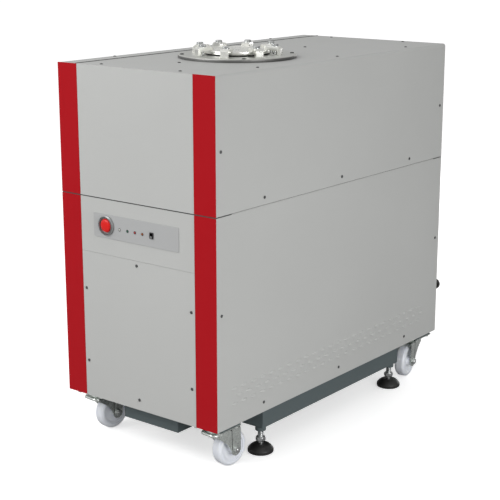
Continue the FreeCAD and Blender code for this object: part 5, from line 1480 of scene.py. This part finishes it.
@dataclass
class Casters:
    """Wheels, axle nuts and eased forks of the four swivel casters."""

    wheel_r: float = 50 * MM
    half: float = 18 * MM
    hub_half: float = 22 * MM
    hub_r: float = 14 * MM
    rim_r: float = 37 * MM
    dish: float = 7 * MM
    leg_face: float = 29 * MM
    # Painted shade: a dark strip up each fork leg that stands for the shadow of its flange's fold
    fold_shade_at: float = 13 * MM
    fold_shade_lean: float = 3 * MM
    fold_shade_w: float = 3.2 * MM
    fold_shade_h: float = 0.7 * MM
    fold_shade_span: tuple[float, float] = (-2 * MM, 64 * MM)
    bore_r: float = 5.1 * MM
    axle_flats: float = 17.4 * MM
    washer_r: float = 10.2 * MM
    washer_h: float = 1.2 * MM
    nut_h: float = 7.0 * MM
    tip_r: float = 4.6 * MM
    tip_h: float = 8.4 * MM
    fork_ease: float = 0.6 * MM
    plate_ease: float = 0.5 * MM

    def wheel(self) -> Patch:
        """Solid wheel turned about Z: hub, dished web with a moulded step, rim and crowned tread.

        Returns:
            The wheel's patch.
        """
        w, r, hub = self.half, self.wheel_r, self.hub_half
        side = [
            (self.bore_r, hub), (self.hub_r - 1 * MM, hub), (self.hub_r + 1.5 * MM, w - self.dish),
            (self.rim_r - 5 * MM, w - self.dish), (self.rim_r - 4 * MM, w - self.dish + 1.6 * MM),
            (self.rim_r - 1 * MM, w - self.dish + 2.2 * MM), (self.rim_r + 0.5 * MM, w - 1.2 * MM),
            (r - 6 * MM, w - 1 * MM), (r, w - 7 * MM)]
        loop = side + [(radius, -height) for radius, height in reversed(side)]
        ease = [0.3, 1.0, 2.0, 0.8, 0.6, 1.0, 1.4, 2.4, 3.2]
        return lathe(rounded(loop, np.array(ease + ease[::-1]) * MM, steps=4), steps=96, closed=True)

    def nuts(self) -> list[Patch]:
        """Washer, nut and rod tip on both ends of an axle, which lies on Z.

        Returns:
            Three patches for each end.
        """
        r, h, tip_r, tip_h = self.washer_r, self.washer_h, self.tip_r, self.tip_h
        washer = rounded([(0.0, 0.0), (r, 0.0), (r, h), (0.0, h)], 0.25 * MM, steps=1, closed=False)
        tip = rounded([(0.0, self.nut_h - 1 * MM), (tip_r, self.nut_h - 1 * MM), (tip_r, tip_h - 0.8 * MM),
                       (tip_r - 1.2 * MM, tip_h), (0.0, tip_h)], 0.4 * MM, steps=2, closed=False)
        one = [lathe(washer, steps=32), nut(self.axle_flats, h, self.nut_h), lathe(tip, steps=20)]
        here = [Patch(p.points + [0, 0, self.leg_face], p.faces) for p in one]
        return here + [Patch(p.points * [1, 1, -1], p.faces) for p in here]

    def fold_shade(self, axle: np.ndarray, along: np.ndarray, forward: np.ndarray) -> Patch:
        """Painted shade of the fold in a fork leg's flange: a dark, low raised cosine that runs up the leg.

        A point is axle + forward s + up z + along (face + h), with h = H cos^2(pi v / 2) sin(pi u)^0.4.
        A flat back sunk into the leg closes it.

        Args:
            axle: Middle of the axle.
            along: Unit direction of the axle, out of the leg.
            forward: Unit direction from the axle to the swivel.

        Returns:
            The strip of painted shade.
        """
        rows, arc = 14, 11
        u = np.linspace(0.0, 1.0, rows)[:, None, None]
        v = np.append(np.linspace(-1.0, 1.0, arc), (0.98, -0.98))[None, :, None]
        sunk = np.append(np.full(arc, 0.15 * MM), np.full(2, 1.2 * MM))[None, :, None]
        columns = arc + 2
        low, high = self.fold_shade_span
        lift = self.fold_shade_h * np.cos(np.pi * v / 2) ** 2 * np.sin(np.pi * u) ** 0.4 - sunk
        points = (axle + forward * (self.fold_shade_at + self.fold_shade_lean * u + v * self.fold_shade_w / 2)
                  + np.array([0.0, 0.0, 1.0]) * (low + (high - low) * u) + along * (self.leg_face + lift))
        ends = [list(range(columns))[::-1], list(range((rows - 1) * columns, rows * columns))]
        faces = grid_faces(rows, columns) + ends
        if np.dot(np.cross(forward, along), (0.0, 0.0, 1.0)) > 0:
            faces = [face[::-1] for face in faces]
        return Patch(points.reshape(-1, 3), faces)

    def build(self, shop: Workshop) -> None:
        """Adds the wheels, nuts and painted fold shades and eases the forks.

        Args:
            shop: The workshop.
        """
        for corner in CORNERS:
            joint = shop.joints[f"wheel_spin_{corner}"]
            at, axes = np.array(joint["pos_m"]), axes_along(joint["axis"])
            forward = (np.array(shop.joints[f"caster_swivel_{corner}"]["pos_m"]) - at) * [1.0, 1.0, 0.0]
            forward /= np.linalg.norm(forward)
            fork = f"caster_swivel_{corner}"
            fold_shades = [self.fold_shade(at, side * axes[2], forward) for side in (1.0, -1.0)]
            # Dark strips of painted shade for the shadow of each leg's fold
            shop.piece(f"fork_fold_shades_{corner}", fold_shades, [Finishes.SHADE], fork)
            shop.piece(f"nylon_wheel_{corner}", [self.wheel().placed(axes, at)], [Finishes.NYLON],
                       f"wheel_{corner}", [f"caster_wheel_{corner}"])
            shop.piece(f"axle_nuts_{corner}", [patch.placed(axes, at) for patch in self.nuts()],
                       [Finishes.PLATED], fork)
            shop.soften(f"caster_fork_{corner}", self.fork_ease)
        shop.soften("caster_plates", self.plate_ease)


@dataclass
class RearConnections:
    """Knurled rings on the water couplings behind the cabinet."""

    coupling_x: tuple[float, float] = (0.246, 0.196)
    coupling_z: float = 0.277
    ring_r: float = 17.25 * MM
    ring_wall: float = 3 * MM
    ring_span: tuple[float, float] = (-12.5 * MM, -2.5 * MM)
    knurls: int = 36
    knurl_depth: float = 0.7 * MM

    def build(self, shop: Workshop) -> None:
        """Adds the knurled rings.

        Args:
            shop: The workshop.
        """
        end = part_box("water_and_gas_fittings")[1].y
        r, bore, (low, high) = self.ring_r, self.ring_r - self.ring_wall, self.ring_span
        ring = rounded([(bore, low), (r, low), (r, high), (bore, high)], 0.6 * MM, steps=2)
        deep = np.where(ring[:, 0] > r - 0.4 * MM, self.knurl_depth, 0.0)
        collar = lathe(ring, steps=144, closed=True, waves=self.knurls, depth=deep)
        patches = [collar.placed(Side.REAR.axes, (x, end, self.coupling_z)) for x in self.coupling_x]
        shop.piece("coupling_rings", patches, [Finishes.DARK_METAL], CABINET)


@dataclass(frozen=True)
class Softbox:
    """One square soft light: where it stands, the point it faces, its side and its power in watts."""

    name: str
    at: tuple[float, float, float]
    aim: tuple[float, float, float]
    size: float
    power: float

    def build(self) -> None:
        """Puts the light into the scene, turned towards its aim."""
        data = bpy.data.lights.new(self.name, "AREA")
        data.size, data.energy = self.size, self.power
        thing = bpy.data.objects.new(self.name, data)
        bpy.context.scene.collection.objects.link(thing)
        thing.location = self.at
        thing.rotation_mode = "QUATERNION"
        thing.rotation_quaternion = (Vector(self.aim) - Vector(self.at)).to_track_quat("-Z", "Y")


@dataclass
class Studio:
    """Pale floor, room light, three softboxes and the camera at the photograph's angle."""

    camera_at: tuple[float, float, float] = (2.2221, -2.92, 1.3983)
    yaw: float = 38.0776
    pitch: float = 14.2761
    focal_px: float = 1273.4
    frame_px: int = 500
    sensor: float = 36.0
    view_end: float = 200.0
    floor_half: float = 40.0
    floor_drop: float = 0.5 * MM
    floor_points: int = 9
    floor_tones: tuple[float, float] = (0.80, 0.84)
    floor_bounce: float = 0.4
    floor_glow: float = 0.7
    room_key: tuple[float, float, float] = (-0.62, -0.55, 0.56)
    room_strength: tuple[float, float] = (0.40, 1.0)
    softboxes: tuple[Softbox, ...] = (
        Softbox("key_softbox", (-1.4, -3.2, 2.6), (0.0, -0.3, 0.6), 2.2, 74.0),
        Softbox("fill_softbox", (3.0, -1.0, 0.62), (0.27, -0.2, 0.3), 1.8, 52.0),
        Softbox("rear_softbox", (-0.4, 4.0, 0.6), (0.0, 0.5, 0.5), 1.4, 34.0))

    def floor_finish(self) -> bpy.types.Material:
        """Matt white with faint noise.

        To the camera it glows a little, so that it reads as white. Other rays meet a darker floor without
        a glow, which throws less light back up.

        Returns:
            The floor's material.
        """
        material = bpy.data.materials.new("studio_floor_white")
        material.use_nodes = True
        material.node_tree.nodes.clear()
        graph = Graph(material.node_tree)
        dark, pale = ((tone,) * 3 for tone in self.floor_tones)
        tone = graph.mix(graph.noise(graph.place(), 1.3, 3.0), dark, pale)
        seen = graph.add("ShaderNodeLightPath").outputs["Is Camera Ray"]
        shader = graph.add("ShaderNodeBsdfPrincipled", {
            "Base Color": graph.mix(seen, (self.floor_bounce,) * 3, tone), "Roughness": 0.7,
            "Emission Color": tone, "Emission Strength": graph.span(seen, 0.0, 1.0, 0.0, self.floor_glow),
            "Specular IOR Level": 0.1})
        output = graph.add("ShaderNodeOutputMaterial")
        graph.link(shader.outputs[0], output.inputs[0])
        return material

    def floor(self) -> None:
        """Large flat floor, a grid of points just under the pads."""
        side, count = np.linspace(-self.floor_half, self.floor_half, self.floor_points), self.floor_points
        x, y = np.meshgrid(side, side, indexing="ij")
        points = np.stack([x, y, 0 * x - self.floor_drop], -1).reshape(-1, 3)
        mesh = bpy.data.meshes.new("studio_floor")
        mesh.from_pydata(points, [], [f[::-1] for f in grid_faces(count, count, close_columns=False)])
        thing = bpy.data.objects.new("studio_floor", mesh)
        bpy.context.scene.collection.objects.link(thing)
        mesh.materials.append(self.floor_finish())

    def world(self) -> None:
        """Room light: its strength rises with the dot product of a ray's direction and the key direction.

        The camera itself sees plain white.
        """
        world = bpy.data.worlds.new("studio_room")
        bpy.context.scene.world = world
        world.use_nodes = True
        world.node_tree.nodes.clear()
        graph = Graph(world.node_tree)
        direction = graph.add("ShaderNodeTexCoord").outputs["Generated"]
        key = graph.add("ShaderNodeVectorMath", {0: direction, 1: self.room_key}, operation="DOT_PRODUCT")
        strength = graph.span(key.outputs["Value"], -0.7, 1.0, *self.room_strength)
        room = graph.add("ShaderNodeBackground", {"Strength": strength})
        white = graph.add("ShaderNodeBackground", {"Color": (1, 1, 1, 1), "Strength": 1.0})
        seen = graph.add("ShaderNodeLightPath").outputs["Is Camera Ray"]
        both = graph.add("ShaderNodeMixShader", {0: seen, 1: room.outputs[0], 2: white.outputs[0]})
        output = graph.add("ShaderNodeOutputWorld")
        graph.link(both.outputs[0], output.inputs[0])

    def camera(self) -> None:
        """Camera solved from the cabinet's corners, level, turned left by the yaw and down by the pitch."""
        data = bpy.data.cameras.new("photo_camera")
        data.sensor_width = self.sensor
        data.lens = self.focal_px / self.frame_px * self.sensor
        data.clip_end = self.view_end
        thing = bpy.data.objects.new("photo_camera", data)
        bpy.context.scene.collection.objects.link(thing)
        yaw, pitch = math.radians(self.yaw), math.radians(self.pitch)
        level, drop = math.cos(pitch), math.sin(pitch)
        forward = Vector((-math.sin(yaw) * level, math.cos(yaw) * level, -drop))
        right = Vector((math.cos(yaw), math.sin(yaw), 0.0))
        turn = Matrix((right, right.cross(forward), -forward)).transposed()
        thing.matrix_world = Matrix.Translation(self.camera_at) @ turn.to_4x4()
        bpy.context.scene.camera = thing

    def build(self) -> None:
        """Sets up the whole studio."""
        self.floor()
        self.world()
        for softbox in self.softboxes:
            softbox.build()
        self.camera()
        bpy.context.scene.view_settings.view_transform = "Standard"


@dataclass
class Machine:
    """The whole pump, sub-assembly by sub-assembly."""

    skin: CabinetSkin = field(default_factory=CabinetSkin)
    seals: Seals = field(default_factory=Seals)
    controls: ControlPanel = field(default_factory=ControlPanel)
    inlet: InletTop = field(default_factory=InletTop)
    feet: Feet = field(default_factory=Feet)
    casters: Casters = field(default_factory=Casters)
    rear: RearConnections = field(default_factory=RearConnections)

    def build(self, shop: Workshop) -> None:
        """Dresses the construction nodes and adds every sub-assembly's pieces.

        Args:
            shop: The workshop.
        """
        shop.dress_nodes()
        for part in (self.skin, self.seals, self.controls, self.inlet, self.feet, self.casters, self.rear):
            part.build(shop)


def main() -> None:
    """Builds the scene round the frame."""
    logging.basicConfig(level=logging.INFO, format="%(message)s")
    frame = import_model()
    shop = Workshop(frame)
    Machine().build(shop)
    Studio().build()
    bpy.context.view_layer.update()
    LOG.info("%d new pieces", shop.count)


if __name__ == "__main__":
    main()
